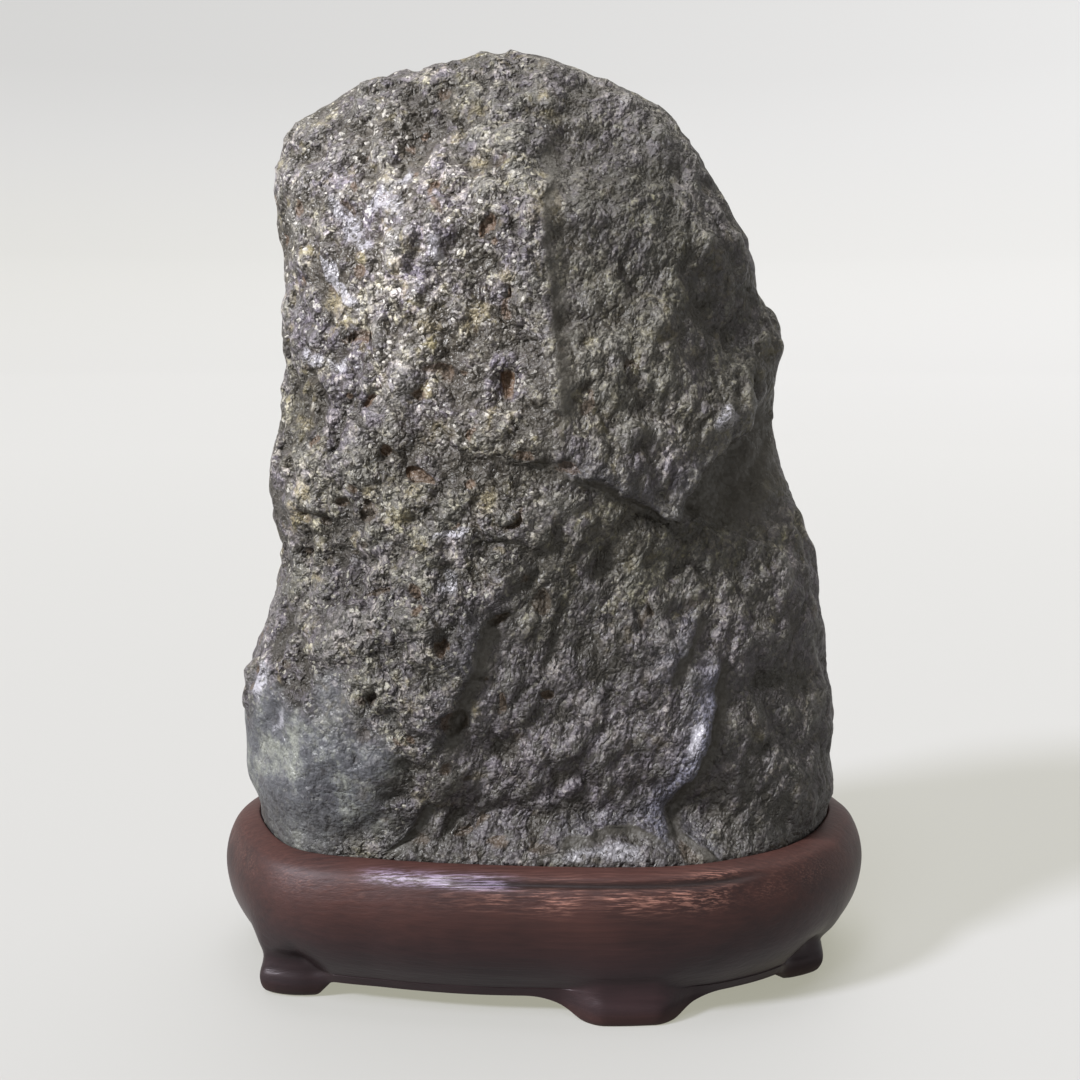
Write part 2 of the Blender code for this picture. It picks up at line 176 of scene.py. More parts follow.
def stand_ring(columns):
    """The widest line in equal steps, fitted to the stand's width and depth."""
    angle = np.linspace(0, 2 * math.pi, FINE_STEPS, endpoint=False)
    radius = through_closed(polar(STAND_PLAN), angle)
    fine = np.column_stack([radius * np.cos(angle), radius * np.sin(angle)])
    low, high = fine.min(axis=0), fine.max(axis=0)
    fine = (fine - (low + high) / 2) * (STAND_WIDTH, STAND_DEPTH) / (high - low)
    step = np.linalg.norm(np.roll(fine, -1, axis=0) - fine, axis=1)
    share = np.concatenate([[0], np.cumsum(step)])
    wanted = np.arange(columns) / columns * share[-1]
    closed = np.vstack([fine, fine[:1]])
    return np.column_stack([np.interp(wanted, share, closed[:, 0]), np.interp(wanted, share, closed[:, 1])])


def feet_runs(ring):
    """For each foot, how far every point of the ring is from its middle, and its sizes."""
    step = np.linalg.norm(np.roll(ring, -1, axis=0) - ring, axis=1)
    travelled = np.concatenate([[0], np.cumsum(step)[:-1]])
    around = step.sum()
    for across, back, half_sole, inset, rounding, turned in FEET:
        nearest = np.argmin(np.linalg.norm(ring - (across, back), axis=1))
        run = (travelled - travelled[nearest] + around / 2) % around - around / 2
        reach = half_sole + TOE_BESIDE
        yield np.abs(run), half_sole, inset + turned * np.clip(run, -reach, reach), rounding


def feet_around(ring):
    """At each point of the ring: how far down it is a foot, how far out, and its toe's inset and rounding."""
    down, out, toe, rounding = np.zeros((4, len(ring)))
    for run, half_sole, foot_inset, foot_rounding in feet_runs(ring):
        foot_out = 1 - ease(half_sole / 2, half_sole + TOE_BESIDE, run)
        past = run - half_sole
        past = (past + np.hypot(past, BRACKET_CORNER)) / 2
        bracket = (1 - np.clip(past / BRACKET_WIDTH, 0, 1)) ** BRACKET_HOLLOW
        tucked = ease(TUCKED_FROM, TUCKED_TO, foot_inset)
        bracket = bracket * (1 - tucked) + np.minimum(bracket, foot_out) * tucked
        toe = np.where(bracket > down, foot_inset, toe)
        rounding = np.where(bracket > down, foot_rounding, rounding)
        down = np.maximum(down, bracket)
        out = np.maximum(out, foot_out)
    return down, out, toe, rounding


stand_middle_ring = stand_ring(STAND_COLUMNS)
print("the widest line is", np.ptp(stand_middle_ring, axis=0).round(1), "mm")


# %% [markdown]
# Next is the section that runs round that line: up out of the seat, over the sloping rim, down the belly to
# the waist, and out again onto the apron or a foot. It is written as shares of the rim's and the waist's
# width, because the wall leans out more at the ends than at the front. A loft joins one ring of points for
# each station. Rings are added between the stations, so that the curve of the rim is smooth.

# %% The stand's section
LIP_AT_ENDS = 4.9
LIP_AT_FRONT = 4.7
WAIST_AT_ENDS = 4.3
WAIST_AT_FRONT = 2.9
RIM_HEIGHT = 19.8
LIP = ((1.0, 19.7), (0.92, 19.9), (0.62, 19.4), (0.38, 18.7), (0.22, 17.6), (0.07, 15.7), (0.0, 13.6))
BELLY = ((0.03, 11.4), (0.17, 9.0), (0.5, 6.6), (1.0, 4.2))
APRON_HEIGHT = 2.7
APRON_THICKNESS = 3.2
APRON_ROUNDING = 0.5
UNDERSIDE_HEIGHT = 5.4
UNDERSIDE_SLOPE = 4.0
SEAT_FLOOR = 9.6
SEAT_DRAFT = 3.0
SEAT_WALL = ((1.4, 0.0), (0.85, 0.09), (0.4, 0.6))
INNER_RINGS = (0.4, 0.8)
# Down a foot: (share of the leg's setback, share of the toe's rounding, height, share of the apron's edge).
TOE = ((0.8, 0.0, 4.0, 0.2), (0.25, 0.0, 2.9, 0.45), (0.0, 0.1, 1.8, 0.7), (0.0, 0.45, 0.6, 0.9),
       (0.0, 1.0, 0.0, 1.0))
SOLE_DEPTH = 5.0
# A sole stops this far short of the sunk middle of the underside.
SOLE_STOPS = 1.8
RINGS_BETWEEN_STATIONS = 8


def by_facing(normal, at_ends, at_front):
    """A width that changes from the stand's ends to its front and back."""
    return at_ends + (at_front - at_ends) * normal[:, 1] ** 2


def filled_in(rings, between):
    """A run of rings with more of them between the stations, on a smooth curve."""
    stack = np.array(rings)
    slopes = np.gradient(stack, axis=0)
    fine = []
    for i in range(len(stack) - 1):
        ends = (stack[i], stack[i + 1], slopes[i], slopes[i + 1])
        fine += [swept(*ends, t) for t in np.arange(between) / between]
    return fine + [stack[-1]]


def stand_rings(ring):
    """The stand's section as rings of (x, y, z), from the seat's floor out, over and under."""
    normal = outward(ring)
    lip = by_facing(normal, LIP_AT_ENDS, LIP_AT_FRONT)
    waist = by_facing(normal, WAIST_AT_ENDS, WAIST_AT_FRONT)
    down, out, toe, rounding = feet_around(ring)
    leg = waist + np.minimum(toe + LEG_BEHIND_TOE - waist, 0) * out

    def at(inset, height):
        flat = ring - normal * np.broadcast_to(inset, down.shape)[:, None]
        return np.column_stack([flat, np.broadcast_to(height, down.shape)])

    def toe_ring(behind, under, height, share):
        on_foot = toe + LEG_BEHIND_TOE * behind + rounding * under
        beside = waist + APRON_ROUNDING * share
        apron = BELLY[-1][1] + (APRON_HEIGHT - BELLY[-1][1]) * share
        return at(beside + (on_foot - beside) * out, apron + (height - apron) * down)

    seat_depth = RIM_HEIGHT - SEAT_FLOOR
    seat = [at(lip + SEAT_DRAFT * share, SEAT_FLOOR + seat_depth * up) for share, up in SEAT_WALL]
    floor = [seat[0] * (share, share, 1) for share in INNER_RINGS]
    rim = [at(lip * share, height) for share, height in LIP]
    belly = [at(leg * share, height + WAIST_RISE * share * out) for share, height in BELLY]
    toes = [toe_ring(*station) for station in TOE]
    edge = waist + APRON_ROUNDING
    sunk = edge + APRON_THICKNESS + UNDERSIDE_SLOPE
    sole = np.minimum(toe + rounding + SOLE_DEPTH, sunk - SOLE_STOPS)
    apron = at(edge + APRON_THICKNESS + (sole - edge - APRON_THICKNESS) * down, APRON_HEIGHT * (1 - down))
    under = at(sunk, UNDERSIDE_HEIGHT)
    inner = [under * (share, share, 1) for share in reversed(INNER_RINGS)]
    wall = filled_in(rim + belly + toes, RINGS_BETWEEN_STATIONS)
    return floor + seat + wall + [apron, under] + inner


stand_section = stand_rings(stand_middle_ring)
print(len(stand_section), "rings of", len(stand_middle_ring), "points")


# %% [markdown]
# A loft becomes a mesh by joining each ring to the next with four-sided faces and closing both ends with a
# fan. A mesh of many points is changed fastest as one array, so a few helpers read the points of a piece as
# an array, put them back, and keep a number at each of them for the finish to read.

# %% Meshes as arrays of points
def lofted(name, rings, first_centre, last_centre):
    """One closed mesh through rings of equal length, with a fan at each end, facing out."""
    bm = bmesh.new()
    loops = [[bm.verts.new(Vector(point) * MM) for point in ring] for ring in rings]
    for inner, outer in zip(loops, loops[1:]):
        for i in range(len(inner)):
            j = (i + 1) % len(inner)
            bm.faces.new((inner[i], outer[i], outer[j], inner[j]))
    for loop, centre in ((loops[0], first_centre), (loops[-1], last_centre)):
        middle = bm.verts.new(Vector(centre) * MM)
        for i in range(len(loop)):
            bm.faces.new((loop[i], loop[(i + 1) % len(loop)], middle))
    bmesh.ops.recalc_face_normals(bm, faces=bm.faces)
    return piece_from(name, bm)


def piece_from(name, bm):
    """The object for a bmesh, shaded smooth, in the scene."""
    mesh = bpy.data.meshes.new(name)
    bm.to_mesh(mesh)
    bm.free()
    mesh.shade_smooth()
    piece = bpy.data.objects.new(name, mesh)
    scene.collection.objects.link(piece)
    return piece


def points_of(piece):
    """A piece's points in millimetres, and its smooth normals."""
    mesh = piece.data
    place = np.zeros(len(mesh.vertices) * 3)
    normal = np.zeros(len(mesh.vertices) * 3)
    mesh.vertices.foreach_get("co", place)
    mesh.vertex_normals.foreach_get("vector", normal)
    return place.reshape(-1, 3) / MM, normal.reshape(-1, 3)


def move_points(piece, points):
    """A piece's points set to new places in millimetres."""
    piece.data.vertices.foreach_set("co", (points * MM).ravel())
    piece.data.update()


def mark(piece, name, values):
    """A number kept for each point of a piece, which its finish can read."""
    layer = piece.data.attributes.new(name, "FLOAT", "POINT")
    layer.data.foreach_set("value", values.astype(np.float32))


def noise_at(points, size, seed):
    """Smooth noise between about -1 and 1, with lumps of the given size."""
    shift = Vector((seed, 2 * seed, 3 * seed))
    return np.array([noise.noise(Vector(p) / size + shift) for p in points])


# %% [markdown]
# Now the carver's hand is added to the stand's points: a low unevenness all over, the thin line cut along the
# rim at the front, and small nicks where the rim's edge has been knocked. Each is a shift along the surface.
# Places that have to look different are marked: where the edge is worn, where it is polished, where the line
# is cut and where the rim faces up.

# %% Carving the stand
HAND_SIZE = 13.0
HAND_HEIGHT = 0.12
ABOVE_SOLES = (0.5, 2.5)
NICK_SIZE = 2.2
NICK_DEPTH = 0.22
LINE_INSET = 1.75
LINE_HALF_WIDTH = 0.42
LINE_DEPTH = 0.5
# Along the front, as where a thing starts, is full, fades and ends.
LINE_ENDS = (-16.0, -6.0, 22.0, 30.0)
WORN_ENDS = (-14.0, 0.0, 18.0, 26.0)
POLISHED_ENDS = (-25.0, -19.0, -8.0, -2.0)
POLISHED_HEIGHT = 18.6
POLISHED_HALF_HEIGHT = 0.7
# A bare spot on the rim: (across, inset from the widest line, half width, half depth).
BARE_SPOT = (21.3, 2.6, 2.6, 0.5)
RIM_STARTS = 16.8
EDGE_HEIGHT = 17.3
EDGE_HALF_HEIGHT = 1.5
LEAST_WORN = 0.2
NICK_CHANCE = 0.25
UP_FACING = (1.5, 2.4)


def along_front(start, full, fades, end):
    """How much each point of the stand belongs to a run along its front, 0 to 1."""
    return ease(start, full, x) * (1 - ease(fades, end, x)) * (y < 0)


stand = lofted("carved_stand", stand_section, (0, 0, SEAT_FLOOR), (0, 0, UNDERSIDE_HEIGHT))
points, normals = points_of(stand)
x, y, z = points.T
insets = np.linalg.norm(np.array(stand_section)[:, :, :2] - stand_middle_ring, axis=2)
ring_inset = np.append(insets, (0, 0))
on_rim = z > RIM_STARTS
line = np.exp(-((ring_inset - LINE_INSET) / LINE_HALF_WIDTH) ** 2) * on_rim * along_front(*LINE_ENDS)
edge = np.exp(-((z - EDGE_HEIGHT) / EDGE_HALF_HEIGHT) ** 2) * (ring_inset < LIP_AT_FRONT)
nicks = np.clip(noise_at(points, NICK_SIZE, 5) - NICK_CHANCE, 0, 1)
shift = HAND_HEIGHT * noise_at(points, HAND_SIZE, 1) * ease(*ABOVE_SOLES, z)
shift -= LINE_DEPTH * line + NICK_DEPTH * edge * nicks
move_points(stand, points + normals * shift[:, None])

across, inset, half_width, half_depth = BARE_SPOT
bare = np.exp(-((x - across) / half_width) ** 2 - ((ring_inset - inset) / half_depth) ** 2) * on_rim * (y < 0)
shiny = np.exp(-((z - POLISHED_HEIGHT) / POLISHED_HALF_HEIGHT) ** 4) * (ring_inset < LIP_AT_FRONT)
mark(stand, "worn_edge", edge * (LEAST_WORN + (1 - LEAST_WORN) * along_front(*WORN_ENDS)) + bare)
mark(stand, "polished", shiny * along_front(*POLISHED_ENDS))
mark(stand, "cut_line", line)
mark(stand, "rim_top", ease(*UP_FACING, ring_inset) * (z > EDGE_HEIGHT))
print("the stand has", len(stand.data.polygons), "faces")


# %% [markdown]
# The stone's shape starts as a cube of small square faces, blown up to a ball. A cube's grid has no poles,
# so the faces stay nearly equal and the fine grain will be as sharp on the top as on the front. The grid is
# finer along the sides of the cube that are longer on the stone. Then the ball's points are drawn a little
# towards the front, which is the side that is looked at most.

# %% A ball of nearly equal faces
CELLS_ACROSS = 126
CELLS_DEEP = 88
CELLS_UP = 160
FRONT_SHIFT = 0.22


def round_cube(cells):
    """A cube with its own number of cells along each axis, blown up to a unit ball."""
    bm = bmesh.new()
    bmesh.ops.create_cube(bm, size=2)
    for axis, count in enumerate(cells):
        along = [e for e in bm.edges if abs(e.verts[0].co[axis] - e.verts[1].co[axis]) > 0.001]
        bmesh.ops.subdivide_edges(bm, edges=along, cuts=count - 1, use_grid_fill=True)
    for vertex in bm.verts:
        warped = Vector([math.tan(c * math.pi / 4) for c in vertex.co]).normalized()
        vertex.co = (warped - Vector((0, FRONT_SHIFT, 0))).normalized()
    bmesh.ops.recalc_face_normals(bm, faces=bm.faces)
    return bm


stone = piece_from("weathered_stone", round_cube((CELLS_ACROSS, CELLS_DEEP, CELLS_UP)))
directions = points_of(stone)[0] * MM
print("the stone starts with", len(stone.data.polygons), "faces")


# %% [markdown]
# The ball is pressed into the stone's own form. Seen from the front it fills an outline of 36 points. Its
# front and back reach is given by height, and the front is folded along a blunt ridge that runs down the
# middle: the part to its left faces the light, and the part to its right turns away from it.

# %% The stone's body
STONE_CENTRE_HEIGHT = 62.0
STONE_ROUNDNESS = 2.5
STONE_OUTLINE = (
    (-40.6, 20.0), (-42.0, 29.0), (-42.6, 36.0), (-41.7, 41.3), (-38.2, 48.0), (-36.2, 54.8),
    (-37.7, 61.8), (-38.0, 66.5), (-35.8, 75.0), (-34.6, 85.0), (-34.9, 96.0), (-35.8, 104.0),
    (-33.9, 112.4), (-28.8, 116.4), (-20.0, 120.4), (-13.7, 121.9), (-7.5, 123.0), (2.6, 121.0),
    (12.4, 117.2), (19.0, 112.1), (23.1, 105.5), (26.4, 98.6), (28.6, 92.0), (31.4, 86.8),
    (31.7, 82.0), (31.2, 76.0), (33.4, 66.0), (36.4, 56.3), (38.5, 47.3), (40.1, 36.0), (40.6, 28.0),
    (41.8, 21.0), (37.0, 10.5), (20.0, 8.6), (-20.0, 8.6), (-37.0, 10.5),
)
FRONT_REACH = ((0.0, 22.5), (20.0, 23.6), (40.0, 23.6), (62.0, 22.2), (85.0, 20.5),
               (105.0, 17.5), (125.0, 13.0))
BACK_REACH = ((0.0, 22.5), (20.0, 23.8), (40.0, 24.5), (62.0, 22.6), (85.0, 18.8),
              (105.0, 15.5), (125.0, 12.0))
RIDGE = ((0.0, -19.0), (26.0, -16.0), (37.0, -11.5), (52.0, -8.0), (58.0, -3.5), (73.0, -1.0),
         (96.0, 1.0), (125.0, 0.0))
FALL_LEFT = ((20.0, 0.02), (45.0, 0.12), (80.0, 0.16), (125.0, 0.12))
FALL_RIGHT = ((20.0, 0.02), (45.0, 0.14), (80.0, 0.24), (125.0, 0.2))
RIDGE_SOFTNESS = 5.0


def stone_body(direction):
    """Where the smooth stone's surface is, for unit directions from its middle."""
    across, deep, up = direction.T
    round_about = np.arctan2(up, across)
    flat = np.hypot(across, up)
    scale = (flat**STONE_ROUNDNESS + np.abs(deep) ** STONE_ROUNDNESS) ** (-1 / STONE_ROUNDNESS)
    outline = polar(STONE_OUTLINE, (0.0, STONE_CENTRE_HEIGHT))
    reach = through_closed(outline, round_about) * flat * scale
    x = reach * np.cos(round_about)
    z = STONE_CENTRE_HEIGHT + reach * np.sin(round_about)
    depth = np.abs(deep) * scale
    front = -through(FRONT_REACH, z) * depth
    back = through(BACK_REACH, z) * depth
    away = x - through(RIDGE, z)
    slope = np.where(away < 0, through(FALL_LEFT, z), through(FALL_RIGHT, z))
    fall = slope * (np.sqrt(away**2 + RIDGE_SOFTNESS**2) - RIDGE_SOFTNESS)
    front = np.minimum(front + fall * depth, 0)
    y = np.where(deep < 0, front, back)
    return np.column_stack([x, y, z])


move_points(stone, stone_body(directions))
body, body_normals = points_of(stone)
print("the smooth stone is", np.ptp(body, axis=0).round(1), "mm")


# %% [markdown]
# Ledges come next. Each is a line that was worn or broken along a bed in the stone: it stands proud on one
# side and drops away on the other. The path is listed so that the proud side is on the left of the way it
# goes. The long one is the brow that overhangs a dark hollow at the right.
# Each ledge says how far it stands up and drops down, how far both take to fade, how sharp its edge is, how
# far the painted shade in the hollow under it reaches, and how strong the painted highlight on its rubbed lip
# is. The brow opens only after part of its way.

# %% The ledges
LEDGES = (
    dict(path=((-1.5, 71.6), (5.5, 69.2), (13.0, 65.6), (16.6, 62.9), (17.6, 66.6), (22.4, 70.8),
               (27.0, 74.6), (31.0, 80.5)),
         up=2.0, down=3.4, fade_up=7.0, fade_down=8.0, edge=0.3, shade=8.0, rub=0.3, opens=(0.467, 0.52)),
    dict(path=((11.7, 20.1), (14.7, 24.3), (16.1, 26.4), (18.7, 29.6), (19.9, 31.9), (20.9, 34.9),
               (21.6, 40.2), (22.7, 47.4)),
         up=1.3, down=1.4, fade_up=3.0, fade_down=4.0, edge=0.3, shade=1.4, rub=1.0),
    dict(path=((-14.2, 33.0), (-12.6, 36.5), (-11.2, 41.2), (-9.4, 47.4), (-5.6, 53.6)),
         up=0.3, down=1.1, fade_up=4.0, fade_down=3.0, edge=0.3, shade=1.8, rub=0.2),
    dict(path=((1.6, 71.5), (2.2, 76.0), (1.8, 85.5), (0.4, 96.5), (0.4, 108.0), (-0.4, 116.0)),
         up=0.3, down=1.0, fade_up=5.0, fade_down=8.0, edge=1.6, shade=1.3, rub=0.1),
    dict(path=((15.8, 42.0), (17.0, 45.0), (18.6, 48.0), (21.2, 52.0)),
         up=0.5, down=1.0, fade_up=2.5, fade_down=2.0, edge=0.4, shade=1.0, rub=0.4),
    dict(path=((0.6, 22.4), (3.8, 23.2), (7.0, 23.9), (10.8, 23.7), (13.4, 23.1)),
         up=0.4, down=0.9, fade_up=2.0, fade_down=1.2, edge=0.25, shade=0.9, rub=0.3),
    dict(path=((14.2, 24.0), (15.5, 21.3), (17.2, 19.2)),
         up=0.3, down=0.8, fade_up=1.0, fade_down=1.2, edge=0.25, shade=0.9, rub=0.6),
    dict(path=((-17.1, 20.0), (-16.5, 23.0), (-16.0, 26.3), (-14.4, 27.8)),
         up=0.4, down=0.9, fade_up=1.6, fade_down=1.6, edge=0.25, shade=1.3, rub=0.2),
)
print(len(LEDGES), "ledges")


# %% [markdown]
# For every point of the stone the nearest place along a ledge is found, and the side on which the point lies.
# The side says whether it is raised or lowered, and the distance says how much is left of that. A little
# noise moves the points first, so that the ledges don't look drawn. This is only done to the stone's front.

# %% How far the ledges stand out
LEDGE_TAPER = 0.16
ALWAYS_OPEN = (-1.0, -0.5)
LEAST_DROP = 0.25
LEDGE_WANDER = ((6.0, 0.9), (2.2, 0.4))
RUBBED_PAINTED_HIGHLIGHT_WIDTH = 2.7
FRONT_STARTS = (0.05, 0.5)


def beside(path, x, z):
    """Signed distance to a path (positive on its left) and the place along it, 0 to 1."""
    path = np.array(path, float)
    best = np.full(len(x), 1e9)
    signed = np.zeros(len(x))
    place = np.zeros(len(x))
    lengths = np.linalg.norm(np.diff(path, axis=0), axis=1)
    start = np.concatenate([[0], np.cumsum(lengths)])
    for a, b, length, s in zip(path, path[1:], lengths, start):
        t = np.clip(((x - a[0]) * (b[0] - a[0]) + (z - a[1]) * (b[1] - a[1])) / length**2, 0, 1)
        across = x - a[0] - t * (b[0] - a[0])
        up = z - a[1] - t * (b[1] - a[1])
        side = ((b[0] - a[0]) * (z - a[1]) - (b[1] - a[1]) * (x - a[0])) / length
        # Past a corner both runs are as near, and the one that is seen more from the side decides.
        distance = np.hypot(across, up) - 0.001 * np.abs(side)
        nearer = distance < best
        best = np.where(nearer, distance, best)
        signed = np.where(nearer, np.sign(side) * distance, signed)
        place = np.where(nearer, (s + t * length) / start[-1], place)
    return signed, place


def ledge_height(x, z):
    """How far the ledges stand out, and the painted shade under them and painted highlight on their lips."""
    height, painted_shade_under_ledges, rubbed = np.zeros((3, len(x)))
    for ledge in LEDGES:
        signed, place = beside(ledge["path"], x, z)
        away = np.abs(signed)
        taper = ease(0, LEDGE_TAPER, place) * ease(0, LEDGE_TAPER, 1 - place)
        proud = 0.5 + 0.5 * np.tanh(signed / ledge["edge"])
        opened = LEAST_DROP + (1 - LEAST_DROP) * ease(*ledge.get("opens", ALWAYS_OPEN), place)
        lip = ledge["up"] * np.exp(-away / ledge["fade_up"])
        hollow = ledge["down"] * opened * np.exp(-away / (ledge["fade_down"] * opened))
        height += taper * (proud * lip - (1 - proud) * hollow)
        # Painted shade in the hollow under a ledge.
        painted_shade_under_ledges = np.maximum(painted_shade_under_ledges, taper * (1 - proud) * np.exp(-away / (ledge["shade"] * opened**2)))
        # A painted highlight along a ledge's rubbed lip.
        rubbed = np.maximum(rubbed, ledge["rub"] * taper * proud * np.exp(-((away / RUBBED_PAINTED_HIGHLIGHT_WIDTH) ** 2)))
    return height, painted_shade_under_ledges, rubbed


facing_front = ease(*FRONT_STARTS, -directions[:, 1])
wander = np.zeros((2, len(body)))
for size, reach in LEDGE_WANDER:
    wander += reach * np.array([noise_at(body, size, seed) for seed in (11, 12)])
relief, painted_shade_under_ledges, rubbed = ledge_height(body[:, 0] + wander[0], body[:, 2] + wander[1])
print("the ledges stand between", relief.min().round(1), "and", relief.max().round(1), "mm")


# %% [markdown]
# Swellings and shallow hollows are round bumps that add to each other: (across, up, radius, rise). Pits are
# sharper: water and the loss of a soft grain leave a small bowl with a clear edge, and rust-brown earth stays
# in it. They are listed one by one, because the eye knows a stone by such marks: (across, up, half width,
# half height, lean, depth).

# %% Swellings, hollows and pits
LUMPS = (
    (15.0, 88.0, 15.0, 2.2), (-20.0, 98.0, 14.0, 1.6), (24.5, 77.5, 4.0, 1.6), (23.5, 88.0, 6.0, -2.4),
    (-23.0, 101.0, 3.5, -1.2), (-33.0, 36.0, 10.0, 1.4), (-30.0, 56.0, 7.0, -1.2), (25.0, 64.0, 6.5, -1.6),
    (-4.0, 80.5, 2.6, -1.3), (3.0, 33.0, 11.0, 0.9), (-1.5, 55.0, 4.0, -0.7),
)
PITS = (
    (-25.3, 102.9, 1.0, 2.0, 25, 1.2), (-13.5, 104.3, 0.7, 1.7, -10, 1.1), (-13.0, 101.9, 0.9, 1.0, 0, 0.8),
    (-7.1, 99.7, 0.6, 1.2, 10, 0.9), (-4.4, 91.1, 0.7, 2.4, -8, 1.2), (-28.8, 85.0, 1.2, 0.9, 0, 1.0),
    (-23.6, 86.6, 2.2, 0.9, 25, 0.8), (-13.3, 82.0, 1.9, 0.8, -25, 1.1), (-20.5, 80.8, 0.8, 0.5, 20, 0.7),
    (-4.5, 81.3, 1.3, 2.0, -20, 0.9), (-24.0, 105.4, 0.6, 0.6, 0, 0.5), (-15.3, 107.1, 0.7, 0.6, 0, 0.6),
    (-14.8, 112.7, 0.5, 0.7, 0, 0.5), (-22.0, 78.4, 1.7, 0.9, 10, 1.0), (-16.0, 79.6, 1.6, 0.8, 15, 0.6),
    (-15.9, 69.2, 1.8, 0.8, 0, 1.1), (-21.5, 64.8, 1.1, 0.9, 0, 1.2), (-31.1, 63.6, 0.8, 0.5, 0, 0.8),
    (-28.3, 63.2, 0.9, 0.6, -10, 0.9), (-25.9, 66.1, 1.0, 0.5, 10, 0.6), (-2.5, 72.2, 1.2, 0.9, 0, 0.7),
    (-3.6, 64.3, 0.8, 2.2, -32, 1.0), (-11.0, 63.6, 1.1, 0.4, 20, 0.5), (-28.8, 73.0, 1.4, 0.7, 20, 0.6),
    (-20.8, 54.4, 2.4, 0.5, 14, 0.7), (-8.9, 75.0, 0.9, 0.5, 30, 0.5), (-21.6, 41.1, 1.1, 0.9, 20, 0.9),
    (-18.7, 36.5, 0.6, 1.1, 0, 0.5), (-23.3, 33.4, 0.9, 0.8, 0, 0.8), (-11.5, 38.7, 1.2, 2.4, -28, 1.3),
    (-34.1, 44.0, 0.6, 1.0, 0, 0.6), (-10.2, 31.1, 0.8, 0.5, 20, 0.6), (-8.0, 24.8, 0.9, 0.7, 10, 0.7),
    (-6.2, 51.7, 2.0, 0.7, 12, 0.9), (-8.1, 44.5, 1.0, 0.7, 20, 0.8), (-5.0, 41.4, 0.6, 1.5, 0, 0.7),
    (-12.9, 48.8, 1.9, 0.7, 15, 0.8), (-22.1, 50.1, 0.9, 0.5, 10, 0.6), (-14.9, 26.8, 0.8, 0.8, 0, 0.7),
    (2.2, 70.7, 2.0, 0.6, 5, 0.8), (-0.4, 53.6, 0.9, 2.2, 0, 1.0), (12.9, 52.1, 0.8, 2.0, -10, 0.9),
    (10.0, 82.4, 1.4, 0.4, 20, 0.6), (5.2, 79.4, 0.8, 1.8, -8, 0.7), (0.1, 42.5, 0.9, 0.7, 0, 0.9),
    (-14.9, 22.4, 1.8, 0.8, 15, 0.9), (-0.7, 21.9, 1.8, 0.8, 0, 1.0), (-9.7, 23.2, 1.6, 0.7, 10, 0.9),
    (-4.7, 22.4, 1.5, 0.6, 0, 0.8), (13.8, 20.6, 1.3, 1.0, 0, 1.0),
)
print(len(LUMPS), "swellings and hollows,", len(PITS), "pits")


# %% [markdown]
# Waxed places and ochre stains have the same oval shape, but they are only gloss and colour, so the last
# number is a share instead of a depth. The waxed places also get a pale painted highlight. A little noise
# moves the edges of all ovals, so that none looks drawn.

# %% Waxed places with painted highlights, and stains
WAXED_WITH_PAINTED_HIGHLIGHTS = (
    (-26.0, 102.0, 3.2, 1.0, -60, 1.0), (-24.5, 100.0, 1.7, 1.1, 0, 1.0), (-20.0, 102.9, 3.0, 2.0, 0, 0.8),
    (-13.3, 97.0, 0.9, 2.0, 0, 0.9), (-27.8, 94.5, 1.8, 0.9, -65, 1.0), (-25.5, 91.7, 2.6, 1.0, -40, 1.0),
    (-28.8, 83.8, 1.7, 1.0, -30, 0.9), (-25.5, 83.3, 1.9, 0.7, -10, 0.8), (-11.5, 62.4, 3.2, 0.6, 15, 0.9),
    (-11.8, 56.8, 0.8, 2.0, 0, 0.7), (23.4, 76.4, 2.2, 1.9, 20, 0.8), (19.2, 35.8, 0.8, 3.0, -10, 0.8),
    (-23.0, 97.8, 1.6, 1.2, 0, 0.7), (5.5, 21.4, 5.5, 0.9, 3, 0.6), (-17.5, 106.5, 2.0, 1.2, 20, 0.6),
    (-37.6, 41.5, 0.7, 3.4, -12, 0.6), (-35.5, 36.0, 0.7, 2.8, -20, 0.35),
)
STAINS = (
    (-30.8, 66.9, 1.6, 2.0, 0, 0.9), (-22.0, 67.3, 1.4, 2.0, 0, 0.9), (-32.2, 63.4, 2.0, 1.4, 0, 0.8),
    (-16.5, 67.5, 1.5, 1.2, 0, 0.7), (-17.8, 64.0, 2.2, 1.6, 10, 0.8), (-15.5, 61.3, 1.2, 1.5, 0, 0.7),
    (-7.5, 66.5, 2.0, 3.0, -30, 0.6), (-11.4, 112.1, 1.1, 1.2, 0, 0.8), (-8.6, 108.7, 1.6, 1.2, 0, 0.8),
    (-0.5, 116.8, 1.2, 1.0, 0, 0.9), (-0.3, 102.0, 2.6, 4.0, -10, 0.6), (-5.0, 94.0, 1.6, 1.4, 0, 0.7),
    (-9.0, 89.0, 2.6, 1.6, 30, 0.6), (-14.5, 88.0, 2.2, 1.4, 10, 0.5), (-6.5, 77.0, 1.0, 2.6, -10, 0.8),
    (-17.5, 36.4, 0.5, 1.1, 0, 1.0), (-24.5, 47.0, 1.3, 0.8, 0, 0.7), (-29.0, 55.0, 1.4, 1.0, 0, 0.6),
    (-26.5, 90.5, 2.4, 1.2, -40, 0.6), (-14.0, 74.5, 3.2, 1.5, 20, 0.4), (29.5, 49.5, 0.7, 0.9, 0, 0.8),
    (-8.5, 40.5, 1.2, 1.0, 0, 0.7), (-20.0, 106.0, 1.4, 1.0, 0, 0.5), (-31.0, 75.5, 1.4, 1.0, 0, 0.6),
)
WOBBLE_SIZE = 2.4
WOBBLE_REACH = 1.4


def lump_height(x, z):
    """How far the swellings stand out, and the shallow hollows lie in."""
    height = np.zeros(len(x))
    for across, up, radius, rise in LUMPS:
        height += rise * np.exp(-((x - across) ** 2 + (z - up) ** 2) / radius**2)
    return height


